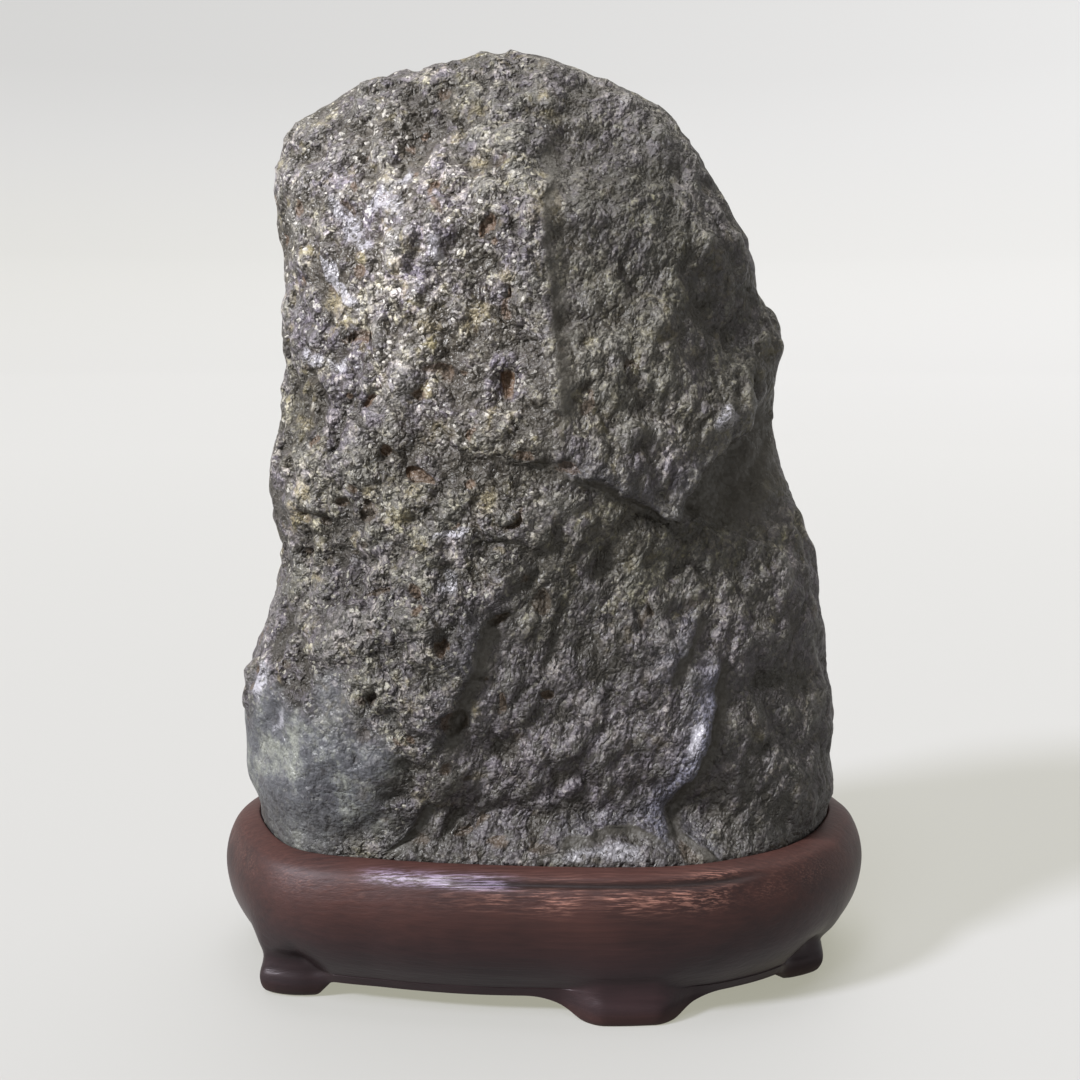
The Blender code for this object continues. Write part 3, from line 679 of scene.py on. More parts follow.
def ovals(marks, x, z):
    """For a list of oval marks: their depth or share at each point, and how far inside one it is."""
    depth, inside = np.zeros((2, len(x)))
    for across, up, half_width, half_height, lean, most in marks:
        turn = math.radians(lean)
        along = (x - across) * math.cos(turn) + (z - up) * math.sin(turn)
        beyond = (z - up) * math.cos(turn) - (x - across) * math.sin(turn)
        bowl = np.clip(1 - (along / half_width) ** 2 - (beyond / half_height) ** 2, 0, 1)
        depth = np.maximum(depth, most * bowl)
        inside = np.maximum(inside, bowl)
    return depth, inside


swell = lump_height(body[:, 0], body[:, 2])
wobble = WOBBLE_REACH * np.array([noise_at(body, WOBBLE_SIZE, seed) for seed in (13, 14)])
across, up = body[:, 0] + wobble[0], body[:, 2] + wobble[1]
(pits, in_pit), (waxed_with_painted_highlight, _), (stained, _) = (ovals(marks, across, up) for marks in (PITS, WAXED_WITH_PAINTED_HIGHLIGHTS, STAINS))
print("the deepest pit is", pits.max().round(1), "mm,", len(WAXED_WITH_PAINTED_HIGHLIGHTS), "waxed places,", len(STAINS), "stains")


# %% [markdown]
# Coarse weathering makes the outline uneven. It is smooth noise in three sizes, pushed along the normals.
# Then the stone's foot is drawn to the wall of its seat, as the carver fitted the seat to the stone.

# %% Coarse weathering and the seat
WEATHERING = ((16.0, 2.0), (7.5, 1.0), (3.8, 0.45))
WEATHERING_AT_SIDES = 0.35
SEAT_GAP = 0.05
SEAT_BLEND = 7.0
FOOT_ROUNDING = (1.0, 3.0)
RELIEF_CLEAR_OF_RIM = 2.5


def weathering(points):
    """The stone's coarse lumps, as a height at each point."""
    height = np.zeros(len(points))
    for size, rise in WEATHERING:
        height += rise * np.array([noise.noise(Vector(p) / size + Vector((size, 0, 0))) for p in points])
    return height


def seat_radius(angle, height):
    """How far the seat's wall is from the stand's middle, by direction and height."""
    normal = outward(stand_middle_ring)
    lip = by_facing(normal, LIP_AT_ENDS, LIP_AT_FRONT)

    def reach(draft):
        inner = stand_middle_ring - normal * (lip + draft)[:, None]
        turned = np.arctan2(inner[:, 1], inner[:, 0])
        return np.interp(angle, turned, np.hypot(inner[:, 0], inner[:, 1]), period=2 * math.pi)

    up = np.clip((height - SEAT_FLOOR) / (RIM_HEIGHT - SEAT_FLOOR), 0, 1)
    return reach(0.0) * up + reach(SEAT_DRAFT) * (1 - up)


def seated(points):
    """The stone's foot drawn to the seat's wall and floor, with the gap."""
    x, y, z = points.T
    angle = np.arctan2(y, x)
    radius = np.hypot(x, y)
    wall = seat_radius(angle, z) - SEAT_GAP
    upright = ease(*FOOT_ROUNDING, z - SEAT_FLOOR)
    snug = np.minimum(wall, radius + (wall - radius) * upright)
    held = 1 - ease(0, SEAT_BLEND, z - RIM_HEIGHT)
    radius = radius + (snug - radius) * held
    z = np.maximum(z, SEAT_FLOOR + SEAT_GAP)
    return np.column_stack([radius * np.cos(angle), radius * np.sin(angle), z])


worn = WEATHERING_AT_SIDES + (1 - WEATHERING_AT_SIDES) * np.abs(directions[:, 1])
points = body.copy()
points[:, 1] -= swell * facing_front
points += body_normals * (weathering(points) * worn)[:, None]
points = seated(points)
cut = relief * facing_front * ease(0, RELIEF_CLEAR_OF_RIM, points[:, 2] - RIM_HEIGHT)
points[:, 1] -= cut - pits * facing_front
move_points(stone, points)
print("the stone is", np.ptp(points, axis=0).round(1), "mm and its top is at", points[:, 2].max().round(2))


# %% [markdown]
# The stone's skin isn't the same all over, and each kind of skin is a number from 0 to 1 at every point.
# Bark is the upright grain of the right half, water-worn is the smooth pale patch at the lower left, and
# earth is what lies in the pits. Some broad patches are paler than the rest and some darker: partly the
# stone's own tone, and partly painted light, paler on the left that faces the light with a painted highlight
# at the upper left, and painted shade on the right that turns away from it. On the back broad noise says how
# much of the grain is bark.

# %% Where each kind of skin lies
BARK_STARTS = (-5.0, 7.0)
BACK_BARK_SIZE = 30.0
BACK_BARK_MIX = (-0.25, 0.25)
# The water-worn patch: (across, up, half width, half height), how its edge wanders, how soft the edge is, and
# how far back it goes.
SMOOTH_PATCH = (-33.0, 29.0, 15.0, 13.0)
PATCH_WANDER_SIZE = 6.0
PATCH_WANDER = 0.4
PATCH_EDGE = (0.65, 1.15)
PATCH_ENDS_BACK = 8
# How much paler than the rest, or darker, as (across, up, radius, share): partly the stone's own tone, partly
# painted light.
TONE_AND_PAINTED_LIGHT_PATCHES = (
    (-21.0, 101.0, 15.0, 0.95), (-12.0, 82.0, 13.0, 0.5), (-33.0, 66.0, 6.0, 0.3), (16.0, 102.0, 14.0, -0.4),
    (-18.0, 48.0, 14.0, -0.25), (32.0, 36.0, 12.0, -0.35), (24.0, 60.0, 8.0, -0.3), (8.0, 48.0, 14.0, -0.3),
    (24.0, 84.0, 8.0, -0.3), (4.0, 28.0, 13.0, 0.05), (30.0, 66.0, 6.0, -0.3), (-24.0, 26.0, 9.0, -0.1),
    (31.0, 23.0, 9.0, -0.25),
)


def skins(points, direction):
    """How much bark and water-worn skin each point has, and its paler and darker tone, partly painted light.
    """
    x, y, z = points.T
    front = ease(*BARK_STARTS, x - through(RIDGE, z))
    back = ease(*BACK_BARK_MIX, noise_at(points, BACK_BARK_SIZE, 7))
    bark = np.where(direction[:, 1] < 0, front, back)
    across, up, half_width, half_height = SMOOTH_PATCH
    away = np.hypot((x - across) / half_width, (z - up) / half_height)
    away += PATCH_WANDER * noise_at(points, PATCH_WANDER_SIZE, 9)
    smooth = (1 - ease(*PATCH_EDGE, away)) * (y < PATCH_ENDS_BACK)
    pale_tone_and_painted_light = np.zeros(len(x))
    for across, up, radius, share in TONE_AND_PAINTED_LIGHT_PATCHES:
        pale_tone_and_painted_light += share * np.exp(-((x - across) ** 2 + (z - up) ** 2) / radius**2)
    return bark, smooth, pale_tone_and_painted_light * (y < 0)


bark, water_worn, pale_tone_and_painted_light = skins(points, directions)
for name, values in (("bark", bark), ("water_worn", water_worn), ("pale_tone_and_painted_light", pale_tone_and_painted_light)):
    mark(stone, name, values)
# Painted light: painted shade under the ledges, a painted highlight on their lips and on the wax.
on_front = {"earth": in_pit, "waxed_with_painted_highlight": waxed_with_painted_highlight, "stained": stained, "painted_shade_under_ledges": painted_shade_under_ledges, "rubbed": rubbed}
for name, values in on_front.items():
    mark(stone, name, values * facing_front)
print("bark covers", round(100 * bark.mean()), "% of the stone")


# %% [markdown]
# The fine relief follows the whole surface by one rule, so Geometry Nodes make it, and the finishes are node
# trees as well. A tree that is built line by line soon becomes hard to read. So a small class stands for a
# wire out of a node, and a sum that is written with wires adds the Math nodes for it. Its other methods are
# the few rows of nodes that are used again and again, such as noise of a given size.

# %% Wires between nodes
FOLD_MIDDLE = 0.14


def fed(node, inputs):
    """A node after its inputs are filled. A wire is linked, and anything else is set as the value."""
    for key, value in inputs.items():
        socket = node.inputs[key]
        if isinstance(value, Wire):
            value.tree.links.new(value.socket, socket)
        elif socket.type == "RGBA":
            socket.default_value = (*value, 1)
        else:
            socket.default_value = value
    return node


def add(tree, kind, inputs=None, **settings):
    """The first wire out of a new node with these settings and inputs."""
    node = tree.nodes.new(kind)
    for name, value in settings.items():
        setattr(node, name, value)
    fed(node, inputs or {})
    return Wire(node.outputs[0]) if len(node.outputs) else None


class Wire:
    """A wire out of a node. It carries a number, a place or a colour."""

    def __init__(self, socket):
        self.socket = socket
        self.tree = socket.id_data

    def __getitem__(self, key):
        """Another wire out of the same node."""
        return Wire(self.socket.node.outputs[key])

    def math(self, operation, *others):
        """One step of arithmetic. On a place or a colour it is done to each of the three parts."""
        kind = "ShaderNodeMath" if self.socket.type == "VALUE" else "ShaderNodeVectorMath"
        return add(self.tree, kind, dict(enumerate((self, *others))), operation=operation)

    def __add__(self, other):
        return self.math("ADD", other)

    def __sub__(self, other):
        return self.math("SUBTRACT", other)

    def __mul__(self, other):
        return self.math("MULTIPLY", other)

    def __truediv__(self, other):
        return self.math("DIVIDE", other)

    def __abs__(self):
        return self.math("ABSOLUTE")

    def __rsub__(self, other):
        return add(self.tree, "ShaderNodeMath", {0: other, 1: self}, operation="SUBTRACT")

    def __rtruediv__(self, other):
        return add(self.tree, "ShaderNodeMath", {0: other, 1: self}, operation="DIVIDE")

    def scaled(self, factor):
        """A place or a colour times one number."""
        return add(self.tree, "ShaderNodeVectorMath", {0: self, 3: factor}, operation="SCALE")

    def part(self, index):
        """One of the three parts of a place or a colour."""
        return add(self.tree, "ShaderNodeSeparateXYZ", {0: self})[index]

    def ramp(self, low, high, to_low=0.0, to_high=1.0):
        """A value that eases from one number to another while this one goes from low to high."""
        limits = {"Value": self, "From Min": low, "From Max": high, "To Min": to_low, "To Max": to_high}
        return add(self.tree, "ShaderNodeMapRange", limits, interpolation_type="SMOOTHSTEP")

    def noise(self, size, detail=2.0, roughness=0.5):
        """Noise between about -1 and 1 at this place, with lumps of the given size in metres."""
        inputs = {"Vector": self, "Scale": 1 / size, "Detail": detail, "Roughness": roughness}
        return add(self.tree, "ShaderNodeTexNoise", inputs) * 2.0 - 1.0

    def folded(self):
        """Noise folded at its middle, which gives rounded bumps with sharp creases between them."""
        return abs(self) - FOLD_MIDDLE

    def stretched(self, lean, stretch):
        """This place turned about the Y axis and squeezed upwards: a texture there is long and leans."""
        turned = add(self.tree, "ShaderNodeVectorRotate", {"Vector": self, "Angle": lean},
                     rotation_type="Y_AXIS", invert=True)
        apart = add(self.tree, "ShaderNodeSeparateXYZ", {0: turned})
        return add(self.tree, "ShaderNodeCombineXYZ", {0: apart[0], 1: apart[1], 2: apart[2] / stretch})


# %% [markdown]
# The tree moves each point along its normal by a height that is the sum of lumps, creases, grain, bark grain
# and small pits. Each is a noise or a cell texture with its own size and height. Every height is in metres,
# and the sizes are inputs of the tree, so that they can be tried by hand in the modifier. Towards the rim
# the relief fades out, so that the stone sits snugly in its seat and doesn't grow into the wood.

# %% The weathering tree
RELIEF_INPUTS = {
    "Lump Size": 9.0 * MM,
    "Lump Height": 1.8 * MM,
    "Crease Height": 0.8 * MM,
    "Grain Size": 5.0 * MM,
    "Grain Height": 2.0 * MM,
    "Bark Size": 3.8 * MM,
    "Bark Height": 1.5 * MM,
    "Bark Stretch": 1.8,
    "Bark Lean": math.radians(20),
    "Pit Spacing": 3.6 * MM,
    "Pit Depth": 0.6 * MM,
    "Rim Height": 19.9 * MM,
    "Fade Height": 3.0 * MM,
    "Seed": 4.0,
}
BEND_SIZE = 5 * MM
BEND_REACH = 2.4 * MM
CREASE_STRETCH = 1.5
CREASE_SIZE_SHARE = 0.7
CREASE_WIDTH = 0.2
CREASE_MIDDLE = 0.12
PIT_WALL_STEEPNESS = 1.8


def weathering_tree(finish):
    """Geometry nodes that roughen a stone and keep the height and the pits for its finish."""
    tree = bpy.data.node_groups.new("weathering", "GeometryNodeTree")
    tree.interface.new_socket("Geometry", in_out="INPUT", socket_type="NodeSocketGeometry")
    for name, value in RELIEF_INPUTS.items():
        tree.interface.new_socket(name, in_out="INPUT", socket_type="NodeSocketFloat").default_value = value
    tree.interface.new_socket("Geometry", in_out="OUTPUT", socket_type="NodeSocketGeometry")
    given = add(tree, "NodeGroupInput")

    def kept(name):
        return add(tree, "GeometryNodeInputNamedAttribute", {"Name": name})["Attribute"]

    place = add(tree, "GeometryNodeInputPosition")
    normal = add(tree, "GeometryNodeInputNormal")
    bark = kept("bark")
    not_bark = 1.0 - bark
    seed = given["Seed"]
    lean = given["Bark Lean"]

    moved = place + add(tree, "ShaderNodeCombineXYZ", {0: seed, 1: seed, 2: seed})
    bend = add(tree, "ShaderNodeTexNoise", {"Vector": moved, "Scale": 1 / BEND_SIZE, "Detail": 1.0})
    bent = moved + bend["Color"].scaled(BEND_REACH)
    creases = bent.stretched(lean, CREASE_STRETCH).noise(given["Lump Size"] * CREASE_SIZE_SHARE, 1.0)
    creases = abs(creases).math("MINIMUM", CREASE_WIDTH) - CREASE_MIDDLE
    creases = creases * (given["Crease Height"] / CREASE_WIDTH)
    lumps = bent.noise(given["Lump Size"]) * given["Lump Height"] + creases
    grain = bent.noise(given["Grain Size"]).folded() * given["Grain Height"]
    streaks = moved.stretched(lean, given["Bark Stretch"]).noise(given["Bark Size"]).folded()
    streaks = streaks * given["Bark Height"]

    # Each cell holds one pit, and its own chance says how wide the pit is.
    cells = add(tree, "ShaderNodeTexVoronoi", {"Vector": bent, "Scale": 1 / given["Pit Spacing"]})
    width = cells["Color"].part(0).ramp(0.4, 1.0, 0.04, 0.32)
    bowl = (1.0 - cells["Distance"] / width).math("MAXIMUM", 0.0) * PIT_WALL_STEEPNESS
    bowl = bowl.math("MINIMUM", 1.0) * (not_bark * 0.9 + 0.1)

    height = lumps * (not_bark * 0.4 + 0.6) + (grain * not_bark + streaks * bark)
    height = height - bowl * given["Pit Depth"]
    rough = kept("water_worn").ramp(0.0, 1.0, 1.0, 0.12)
    rough = rough * kept("painted_shade_under_ledges").ramp(0.1, 0.6, 1.0, 0.5) * kept("pale_tone_and_painted_light").ramp(0.0, 0.6, 1.0, 0.8)
    rough = rough * abs(normal.part(1)).ramp(0.1, 0.7, 0.5, 1.0)
    above = (place.part(2) - given["Rim Height"]) / given["Fade Height"]
    height = height * (rough * above.ramp(0.0, 1.0, 0.05))

    shape = given["Geometry"]
    for name, value in (("height", height / MM), ("bowl", bowl)):
        inputs = {"Geometry": shape, "Name": name, "Value": value}
        shape = add(tree, "GeometryNodeStoreNamedAttribute", inputs)
    shape = add(tree, "GeometryNodeSetPosition", {"Geometry": shape, "Offset": normal.scaled(height)})
    shape = add(tree, "GeometryNodeRealizeInstances", {0: shape})
    shape = add(tree, "GeometryNodeSetMaterial", {"Geometry": shape, "Material": finish})
    add(tree, "NodeGroupOutput", {"Geometry": shape})
    return tree


def grown(piece, tree, values):
    """A plain mesh piece made by running a tree on a piece, which it takes the place of."""
    modifier = piece.modifiers.new("tree", "NODES")
    modifier.node_group = tree
    for item in tree.interface.items_tree:
        if item.in_out == "INPUT" and item.name in values:
            modifier[item.identifier] = values[item.name]
    bpy.context.view_layer.update()
    evaluated = piece.evaluated_get(bpy.context.evaluated_depsgraph_get())
    mesh = bpy.data.meshes.new_from_object(evaluated)
    piece.modifiers.clear()
    piece.data = mesh
    mesh.name = piece.name
    return piece


# %% [markdown]
# Both finishes are made like paint, as a base colour with others laid over it. Each layer covers only a share
# of the surface, and that share is a wire: a noise, a height, or a number that was kept on the mesh.

# %% Colours laid over each other
def colour_at(share, stops):
    """A colour read from a ramp of (place, colour) stops."""
    ramp = add(share.tree, "ShaderNodeValToRGB", {"Fac": share})
    elements = ramp.socket.node.color_ramp.elements
    while len(elements) < len(stops):
        elements.new(0.5)
    for element, (place, colour) in zip(elements, stops):
        element.position = place
        element.color = (*colour, 1)
    return ramp


def mixed(share, first, second):
    """Two colours mixed by a share."""
    return add(share.tree, "ShaderNodeMix", {0: share, 6: first, 7: second}, data_type="RGBA")[2]


def layered(base, layers):
    """A colour with others laid over it, each a (share, colour) pair."""
    for share, colour in layers:
        base = mixed(share, base, colour)
    return base


def finish_named(name):
    """A new finish: its node tree and its Principled BSDF."""
    finish = bpy.data.materials.new(name)
    finish.use_nodes = True
    return finish, finish.node_tree, finish.node_tree.nodes["Principled BSDF"]


def share_of(tree, name):
    """A number kept on the mesh."""
    return add(tree, "ShaderNodeAttribute", attribute_name=name)["Fac"]


# %% [markdown]
# The stone's finish. The real skin is a dark grey with a purple cast, more olive towards the top, and full of
# pale and yellowish mineral flecks about half a millimetre wide. It is a mass of tiny broken grains, so two
# sizes of cells each get a face with a tilt of its own, and the light catches some and misses others. The
# layers come in this order: the mineral with painted shade in the creases of its bump, then painted glints on
# a few grains, paler raised places, painted shade in the low places, earth in the pits and ochre stains, then
# the paler and darker patches, which are partly the stone's tone and partly painted light, and last the
# water-worn patch, a painted highlight on the ledges' rubbed lips, wax with a painted highlight on it, and
# painted shade under the ledges and near the rim. The finest grain is too small for the mesh, so it is a
# bump.

# %% The stone's finish
SKIN_TONES = ((0.2, (0.026, 0.022, 0.018)), (0.5, (0.080, 0.073, 0.074)),
              (0.68, (0.165, 0.155, 0.138)), (0.92, (0.40, 0.38, 0.32)))
CLOUD_TONES = ((0.2, (0.026, 0.027, 0.034)), (0.5, (0.068, 0.072, 0.082)), (0.85, (0.25, 0.26, 0.225)))
# Painted shade for the creases of the bump.
CREASE_PAINTED_SHADE = (0.018, 0.014, 0.009)
YELLOW_MINERAL = (0.22, 0.19, 0.10)
PURPLE_CAST = (0.99, 0.93, 1.12)
OLIVE_CAST = (1.03, 1.01, 0.82)
# A painted glint on a few grains.
PAINTED_GLINT = (0.46, 0.44, 0.38)
HIGH_PLACES = (0.24, 0.235, 0.21)
# Painted shade in the low places.
LOW_PLACES_PAINTED_SHADE = (0.026, 0.021, 0.014)
RUST = (0.10, 0.06, 0.034)
DARK_EARTH = (0.05, 0.038, 0.026)
OCHRE = (0.31, 0.26, 0.145)
# Partly the stone's paler tone and partly painted light.
PALER_AND_BLUER_PAINTED_LIGHT = (1.0, 0.99, 1.2)
# A painted highlight on the rubbed lips of the ledges.
RUBBED_EDGE_PAINTED_HIGHLIGHT = (0.13, 0.13, 0.18)
# A painted highlight laid on the wax.
WAX_PAINTED_HIGHLIGHT = (0.46, 0.45, 0.50)
# Painted shade under the ledges.
LEDGE_PAINTED_SHADE_COLOUR = (0.041, 0.036, 0.028)
# Painted shade near the rim.
NEAR_RIM_PAINTED_SHADE = (0.026, 0.024, 0.019)
# The noises of the skin, each with its size, detail and roughness.
BROAD_NOISE = (16 * MM, 3.0, 0.6)
HUE_NOISE = (12 * MM, 4.0, 0.65)
PATCH_NOISE = (5.5 * MM, 3.0, 0.6)
MINERAL_NOISE = (3.2 * MM, 3.0, 0.65)
CLOUD_NOISE = (7 * MM, 6.0, 0.75)
SPECK_NOISE = (0.55 * MM, 2.0, 0.8)
GRAIN_NOISE = (1.8 * MM, 4.0, 0.7)
BUMP_NOISE = (2.8 * MM, 3.0, 0.65)
# The place is shifted about by this much before the finest noises are read, so their grains are crumpled.
CRUMPLE_SIZE = 1.8 * MM
CRUMPLE_REACH = 0.7 * MM
# How wide the grains are in millimetres, and how far their edges fall for each millimetre of width.
LARGE_FACET = 1.05
SMALL_FACET = 0.42
FACET_FALL = -0.4
MIDDLE_TONE = 0.265


def stone_finish():
    """Dark pitted stone with wax on it, and painted shade and painted highlights."""
    finish, tree, shader = finish_named("dark_waxed_stone")
    marks = ("bark", "height", "pale_tone_and_painted_light", "water_worn", "painted_shade_under_ledges")
    bark, height, pale_tone_and_painted_light, worn, painted_shade_under_ledges = (share_of(tree, name) for name in marks)
    place = add(tree, "ShaderNodeTexCoord")["Object"]
    up = place.part(2)
    crumple = add(tree, "ShaderNodeTexNoise", {"Vector": place, "Scale": 1 / CRUMPLE_SIZE, "Detail": 2.0})
    crumpled = place + crumple["Color"].scaled(CRUMPLE_REACH)
    places = (crumpled, crumpled.stretched(RELIEF_INPUTS["Bark Lean"], RELIEF_INPUTS["Bark Stretch"]))

    def either(even, long):
        return add(tree, "ShaderNodeMix", {0: bark, 2: even, 3: long})

    def grained(size, detail, roughness):
        return either(*(at.noise(size, detail, roughness) for at in places))

    def facets(size, at):
        """Grains of one size in millimetres: their tilted faces' height, their shade and their colour."""
        cell = add(tree, "ShaderNodeTexVoronoi", {"Vector": at, "Scale": 1 / (size * MM)})
        tilt = cell["Color"] - (0.5, 0.5, 0.5)
        lean = (at - cell["Position"]).math("DOT_PRODUCT", tilt)["Value"] / MM
        return cell["Distance"] * (FACET_FALL * size) + lean, cell["Color"].part(0), cell["Color"].part(1)

    broad = place.noise(*BROAD_NOISE)
    patches = place.noise(*PATCH_NOISE)
    mineral = place.noise(*MINERAL_NOISE)
    clouds = place.noise(*CLOUD_NOISE)
    speck = crumpled.noise(*SPECK_NOISE)
    grain = grained(*GRAIN_NOISE)
    bumps = grained(*BUMP_NOISE).folded()
    even_facets, long_facets = (facets(LARGE_FACET, at) for at in places)
    large_height, large_shade, large_colour = (either(*pair) for pair in zip(even_facets, long_facets))
    small_height, small_shade, small_colour = facets(SMALL_FACET, crumpled)

    tone = (patches * 0.6 + grain * 0.5 + large_shade * 0.22) * bark.ramp(0.0, 1.0, 0.95, 0.6)
    base = colour_at(tone + speck * 0.4 + small_shade * 0.25 + MIDDLE_TONE, SKIN_TONES)
    yellow = broad.ramp(-0.3, 0.3, 0.15, 0.8) * mineral.ramp(0.12, 0.4) * bark.ramp(0.0, 1.0, 0.9, 0.4)
    # Painted shade in the creases of the bump, which the bump itself can't shade, then the yellow mineral.
    base = layered(base, ((bumps.ramp(0.0, -0.13, 0.0, 0.85), CREASE_PAINTED_SHADE), (yellow, YELLOW_MINERAL)))
    hue = large_colour * 0.35 + place.noise(*HUE_NOISE) + up.ramp(62 * MM, 42 * MM, 0.05, -0.28)
    base = base * mixed(hue.ramp(-0.1, 0.45), PURPLE_CAST, OLIVE_CAST)

    # A few small grains are painted pale as glints: a painted highlight.
    painted_glint_share = small_colour.ramp(0.9, 0.98, 0.0, 0.6) * bark.ramp(0.0, 1.0, 1.0, 0.3)
    earth = share_of(tree, "earth").math("MAXIMUM", share_of(tree, "bowl"))
    stained = share_of(tree, "stained") * speck.ramp(-0.35, 0.15, 0.2, 1.0)
    base = layered(base, (
        (painted_glint_share, PAINTED_GLINT),
        (height.ramp(0.1, 0.7, 0.0, 0.2), HIGH_PLACES),
        # Painted shade in the low places of the relief.
        (height.ramp(0.0, -0.5, 0.0, 0.88), LOW_PLACES_PAINTED_SHADE),
        (earth.ramp(0.12, 0.5, 0.0, 0.85), mixed(broad.ramp(-0.4, 0.4), RUST, DARK_EARTH)),
        (stained.ramp(0.0, 0.9, 0.0, 0.6), OCHRE),
    ))
    # Paler and bluer where the patches are paler, partly a painted highlight; darker where they are below
    # zero, painted shade.
    base = base + (base * PALER_AND_BLUER_PAINTED_LIGHT).scaled(pale_tone_and_painted_light)

    # A painted highlight along the rubbed lips of the ledges.
    edges = share_of(tree, "rubbed") * speck.ramp(-0.3, 0.2, 0.2, 0.9)
    # Wax makes a place glossier, and a pale painted highlight is laid on it as well.
    waxed_with_painted_highlight = share_of(tree, "waxed_with_painted_highlight").ramp(0.0, 0.5) * (grain + speck).ramp(-0.35, 0.15, 0.15, 1.0)
    base = layered(base, (
        (worn * 0.85, colour_at(clouds * 1.1 + 0.5, CLOUD_TONES)),
        (edges, RUBBED_EDGE_PAINTED_HIGHLIGHT),
        (waxed_with_painted_highlight * 0.7, WAX_PAINTED_HIGHLIGHT),
        # Painted shade under the ledges, then painted shade near the rim.
        (painted_shade_under_ledges.ramp(0.1, 0.5, 0.0, 0.9), LEDGE_PAINTED_SHADE_COLOUR),
        (up.ramp(29 * MM, 19.5 * MM, 0.0, 0.55), NEAR_RIM_PAINTED_SHADE),
    ))

    skin_height = bumps * 1.5 + (large_height + small_height) + speck * 0.12
    for kind, smoothest in ((bark, 0.75), (worn, 0.35), (painted_shade_under_ledges, 0.2), (pale_tone_and_painted_light, 0.75), (waxed_with_painted_highlight, 0.7)):
        skin_height = skin_height * kind.ramp(0.0, 0.6, 1.0, smoothest)
    fed(shader, {
        "Base Color": base,
        "Roughness": pale_tone_and_painted_light * -0.12 + small_shade.ramp(0.0, 1.0, 0.44, 0.68) + waxed_with_painted_highlight * -0.14,
        "Specular IOR Level": 0.6,
        "Normal": add(tree, "ShaderNodeBump", {"Height": skin_height * 0.8, "Strength": 1.0, "Distance": MM}),
    })
    return finish


stone_skin = stone_finish()
stone = grown(stone, weathering_tree(stone_skin), RELIEF_INPUTS)
print("the stone has", len(stone.data.polygons), "faces after weathering")


# %% [markdown]
# The stand's finish is hardwood under old lacquer. The wood is nearly black-red, with a straight grain that
# runs from end to end, so its noise is long across and short upwards. The lower belly, which turns down away
# from the light, is darker with painted shade, and the feet are a little redder again. Where the rim's edge
# is rubbed, the lacquer is thin, and the wood shows redder in fine scratches. The band of the rim that faces
# up is redder in streaks, partly wear and partly a painted sheen, and the cut line is painted dark as shade.
# On a band left of the middle the lacquer is still thick. There the shader has a coat, and the coat's glints
# break up into specks, because the scratches also go into the bump. Pale violet specks are painted there as
# well, a painted highlight.

# %% The stand's finish
# The lower wood is painted shade on the lower belly, which turns away from the light.
LOWER_WOOD_PAINTED_SHADE = ((0.2, (0.009, 0.0045, 0.005)), (0.8, (0.022, 0.011, 0.012)))
UPPER_WOOD = ((0.2, (0.016, 0.007, 0.006)), (0.8, (0.046, 0.018, 0.014)))
# Redder on the rim's up-facing band: partly wear and partly a painted sheen.
REDDER_WOOD_AND_PAINTED_SHEEN = (0.06, 0.024, 0.019)
BARE_WOOD = (0.32, 0.16, 0.125)
# Painted shade in the cut line.
CUT_LINE_PAINTED_SHADE = (0.010, 0.006, 0.005)
# A painted highlight: pale violet specks.
PAINTED_SPARKLE = (0.42, 0.34, 0.52)
LACQUER_TINT = (1.0, 0.92, 1.0)
ALONG_GRAIN = (0.045, 1.0, 1.0)
ALONG_DIMPLES = (0.4, 1.0, 1.0)
STREAK_NOISE = (0.7 * MM, 3.0, 0.65)
SCRATCH_NOISE = (0.24 * MM, 3.0, 0.7)
WOOD_TONE_NOISE = (11 * MM, 3.0)
RUBBED_PATCH_SIZE = 5 * MM
DIMPLE_SIZE = 0.9 * MM


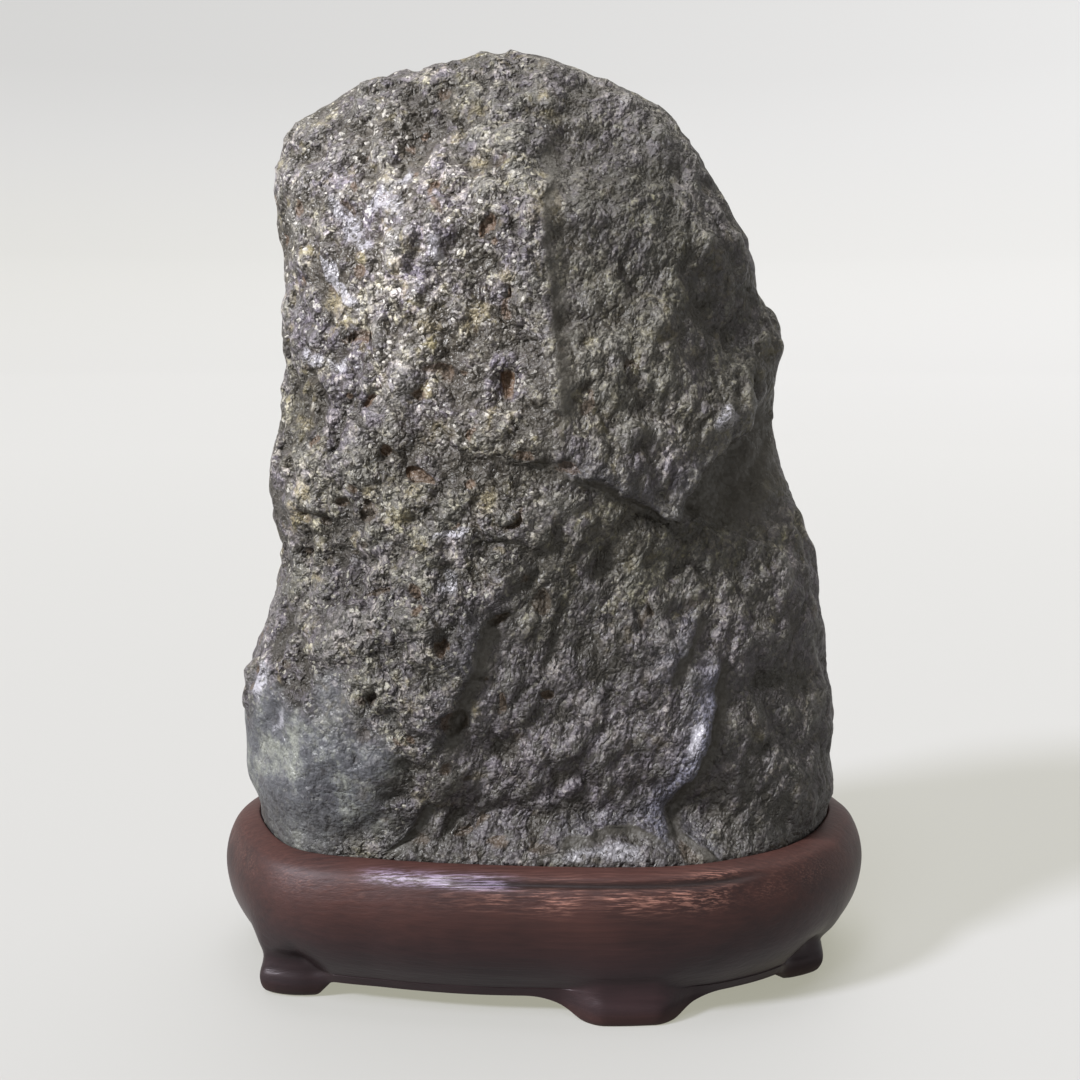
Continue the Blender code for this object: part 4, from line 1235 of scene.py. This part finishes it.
def wood_finish():
    """Dark red-brown hardwood under satin lacquer, rubbed along the rim."""
    finish, tree, shader = finish_named("lacquered_hardwood")
    worn_edge, polished, rim_top, cut_line = (
        share_of(tree, name) for name in ("worn_edge", "polished", "rim_top", "cut_line"))
    place = add(tree, "ShaderNodeTexCoord")["Object"]
    up = place.part(2)
    along = place * ALONG_GRAIN
    streaks = along.noise(*STREAK_NOISE)
    scratches = along.noise(*SCRATCH_NOISE)
    patches = place.noise(RUBBED_PATCH_SIZE)
    dimples = (place * ALONG_DIMPLES).noise(DIMPLE_SIZE)

    tone = streaks * 0.35 + place.noise(*WOOD_TONE_NOISE) * 0.6 + 0.5
    # Painted shade on the lower belly, and the feet a little redder again.
    redder_out_of_painted_shade = up.ramp(6 * MM, 16 * MM) + up.ramp(2.6 * MM, 0.8 * MM, 0.0, 0.6)
    base = mixed(redder_out_of_painted_shade, colour_at(tone, LOWER_WOOD_PAINTED_SHADE), colour_at(tone, UPPER_WOOD))
    rubbed = worn_edge * scratches.ramp(-0.1, 0.35) * patches.ramp(-0.25, 0.2, 0.3, 1.0)
    shine = polished * scratches.ramp(-0.3, 0.1, 0.3, 1.0)
    # The sparkle is a painted highlight: pale violet specks where the coat shines.
    painted_sparkle_share = shine * scratches.ramp(-0.1, 0.25, 0.05, 0.6) * patches.ramp(-0.4, 0.1, 0.5, 1.0)
    base = layered(base, (
        # Partly wear and partly a painted sheen on the rim's up-facing band.
        (rim_top * scratches.ramp(-0.3, 0.3, 0.1, 0.55), REDDER_WOOD_AND_PAINTED_SHEEN),
        (rubbed * 0.85, BARE_WOOD),
        # Painted shade in the cut line.
        (cut_line, CUT_LINE_PAINTED_SHADE),
        (painted_sparkle_share, PAINTED_SPARKLE),
    ))

    rough = shine * -0.26 + up.ramp(9 * MM, 16 * MM, 0.4, 0.54) + up.ramp(3.4 * MM, 2.2 * MM, 0.0, 0.3)
    fine = (scratches + dimples) * ((worn_edge + polished * 1.5) * 2.0) + streaks
    fed(shader, {
        "Base Color": base,
        "Roughness": rough,
        "Specular IOR Level": 0.28,
        "Specular Tint": LACQUER_TINT,
        "Coat Weight": shine * 0.9,
        "Coat Roughness": 0.28,
        "Normal": add(tree, "ShaderNodeBump", {"Height": fine, "Strength": 0.5, "Distance": 0.06 * MM}),
    })
    return finish


stand.data.materials.append(wood_finish())
print("the stand's finish is", stand.data.materials[0].name)


# %% [markdown]
# Each finished piece hides the plain solid that it stands for, and rides on a body. Nothing moves here, so
# both ride on the one body.

# %% The pieces take their places
for piece, node, slot in ((stone, "rock", "stone"), (stand, "stand", "hardwood")):
    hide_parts(node)
    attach(piece, "root")
    print(piece.name, "stands for", node)


# %% [markdown]
# The setting is a pale studio bowl: a round floor that curves up all round, so no view shows a line where it
# ends. It glows a little and throws neither shadow nor light on the stone, which keeps the stone's own
# shading strong. A small lamp at the left gives the shadow to the right and the glints on the stone, a wider
# one higher up puts the shine on the rim, and a broad one overhead and a faint sky fill the shadows.

# %% The floor and the light
BOWL = ((0.0, 0.0), (0.8, 0.0), (1.1, 0.04), (1.32, 0.15), (1.45, 0.36), (1.5, 0.8))
BOWL_SIDES = 96
FLOOR_COLOUR = (0.158, 0.159, 0.186)
WALL_COLOUR = (0.07, 0.07, 0.07)
FLOOR_GLOW = (1.0, 0.985, 0.80)
WALL_GLOW = (1.0, 0.995, 0.98)
# Each sun: its name, the way to it, its angle in degrees, its strength and its colour.
SUNS = (
    ("key", (-0.70, -0.40, 0.59), 9.0, 6.0, (0.98, 0.98, 1.0)),
    ("lamp", (-0.25, -0.36, 0.9), 20.0, 1.2, (0.95, 0.95, 1.0)),
    ("overhead", (0.1, 0.3, 0.95), 50.0, 2.1, (1.0, 0.98, 0.92)),
)
SKY_COLOUR = (1.0, 0.97, 0.88)
SKY_STRENGTH = 0.28


def studio_bowl():
    """A round floor that curves up into a wall."""
    bm = bmesh.new()
    profile = [bm.verts.new((reach, 0, up)) for reach, up in BOWL]
    edges = [bm.edges.new(pair) for pair in zip(profile, profile[1:])]
    bmesh.ops.spin(bm, geom=profile + edges, axis=(0, 0, 1), cent=(0, 0, 0),
                   angle=2 * math.pi, steps=BOWL_SIDES)
    bmesh.ops.remove_doubles(bm, verts=bm.verts, dist=0.0001)
    return piece_from("studio_floor", bm)


def sun(name, towards, angle, strength, colour):
    """Even light from one direction, softer the larger its angle."""
    data = bpy.data.lights.new(name, "SUN")
    data.angle = math.radians(angle)
    data.energy = strength
    data.color = colour
    holder = bpy.data.objects.new(name, data)
    holder.rotation_euler = Vector(towards).to_track_quat("Z", "Y").to_euler()
    scene.collection.objects.link(holder)


floor = studio_bowl()
floor_finish, floor_tree, floor_shader = finish_named("pale_floor")
wall = add(floor_tree, "ShaderNodeTexCoord")["Object"].part(2).ramp(0.0, 0.3)
fed(floor_shader, {
    "Base Color": mixed(wall, FLOOR_COLOUR, WALL_COLOUR),
    "Emission Color": mixed(wall, FLOOR_GLOW, WALL_GLOW),
    "Emission Strength": wall * 0.2 + 0.36,
    "Roughness": 0.6,
})
floor_finish.cycles.emission_sampling = "NONE"
floor.data.materials.append(floor_finish)
floor.visible_shadow = False
floor.visible_diffuse = False
for settings in SUNS:
    sun(*settings)
sky = bpy.data.worlds.new("sky")
sky.use_nodes = True
fed(sky.node_tree.nodes["Background"], {"Color": SKY_COLOUR, "Strength": SKY_STRENGTH})
scene.world = sky
scene.view_settings.view_transform = "Standard"
print(len(SUNS), "suns over a floor", 2 * BOWL[-1][0], "m wide")
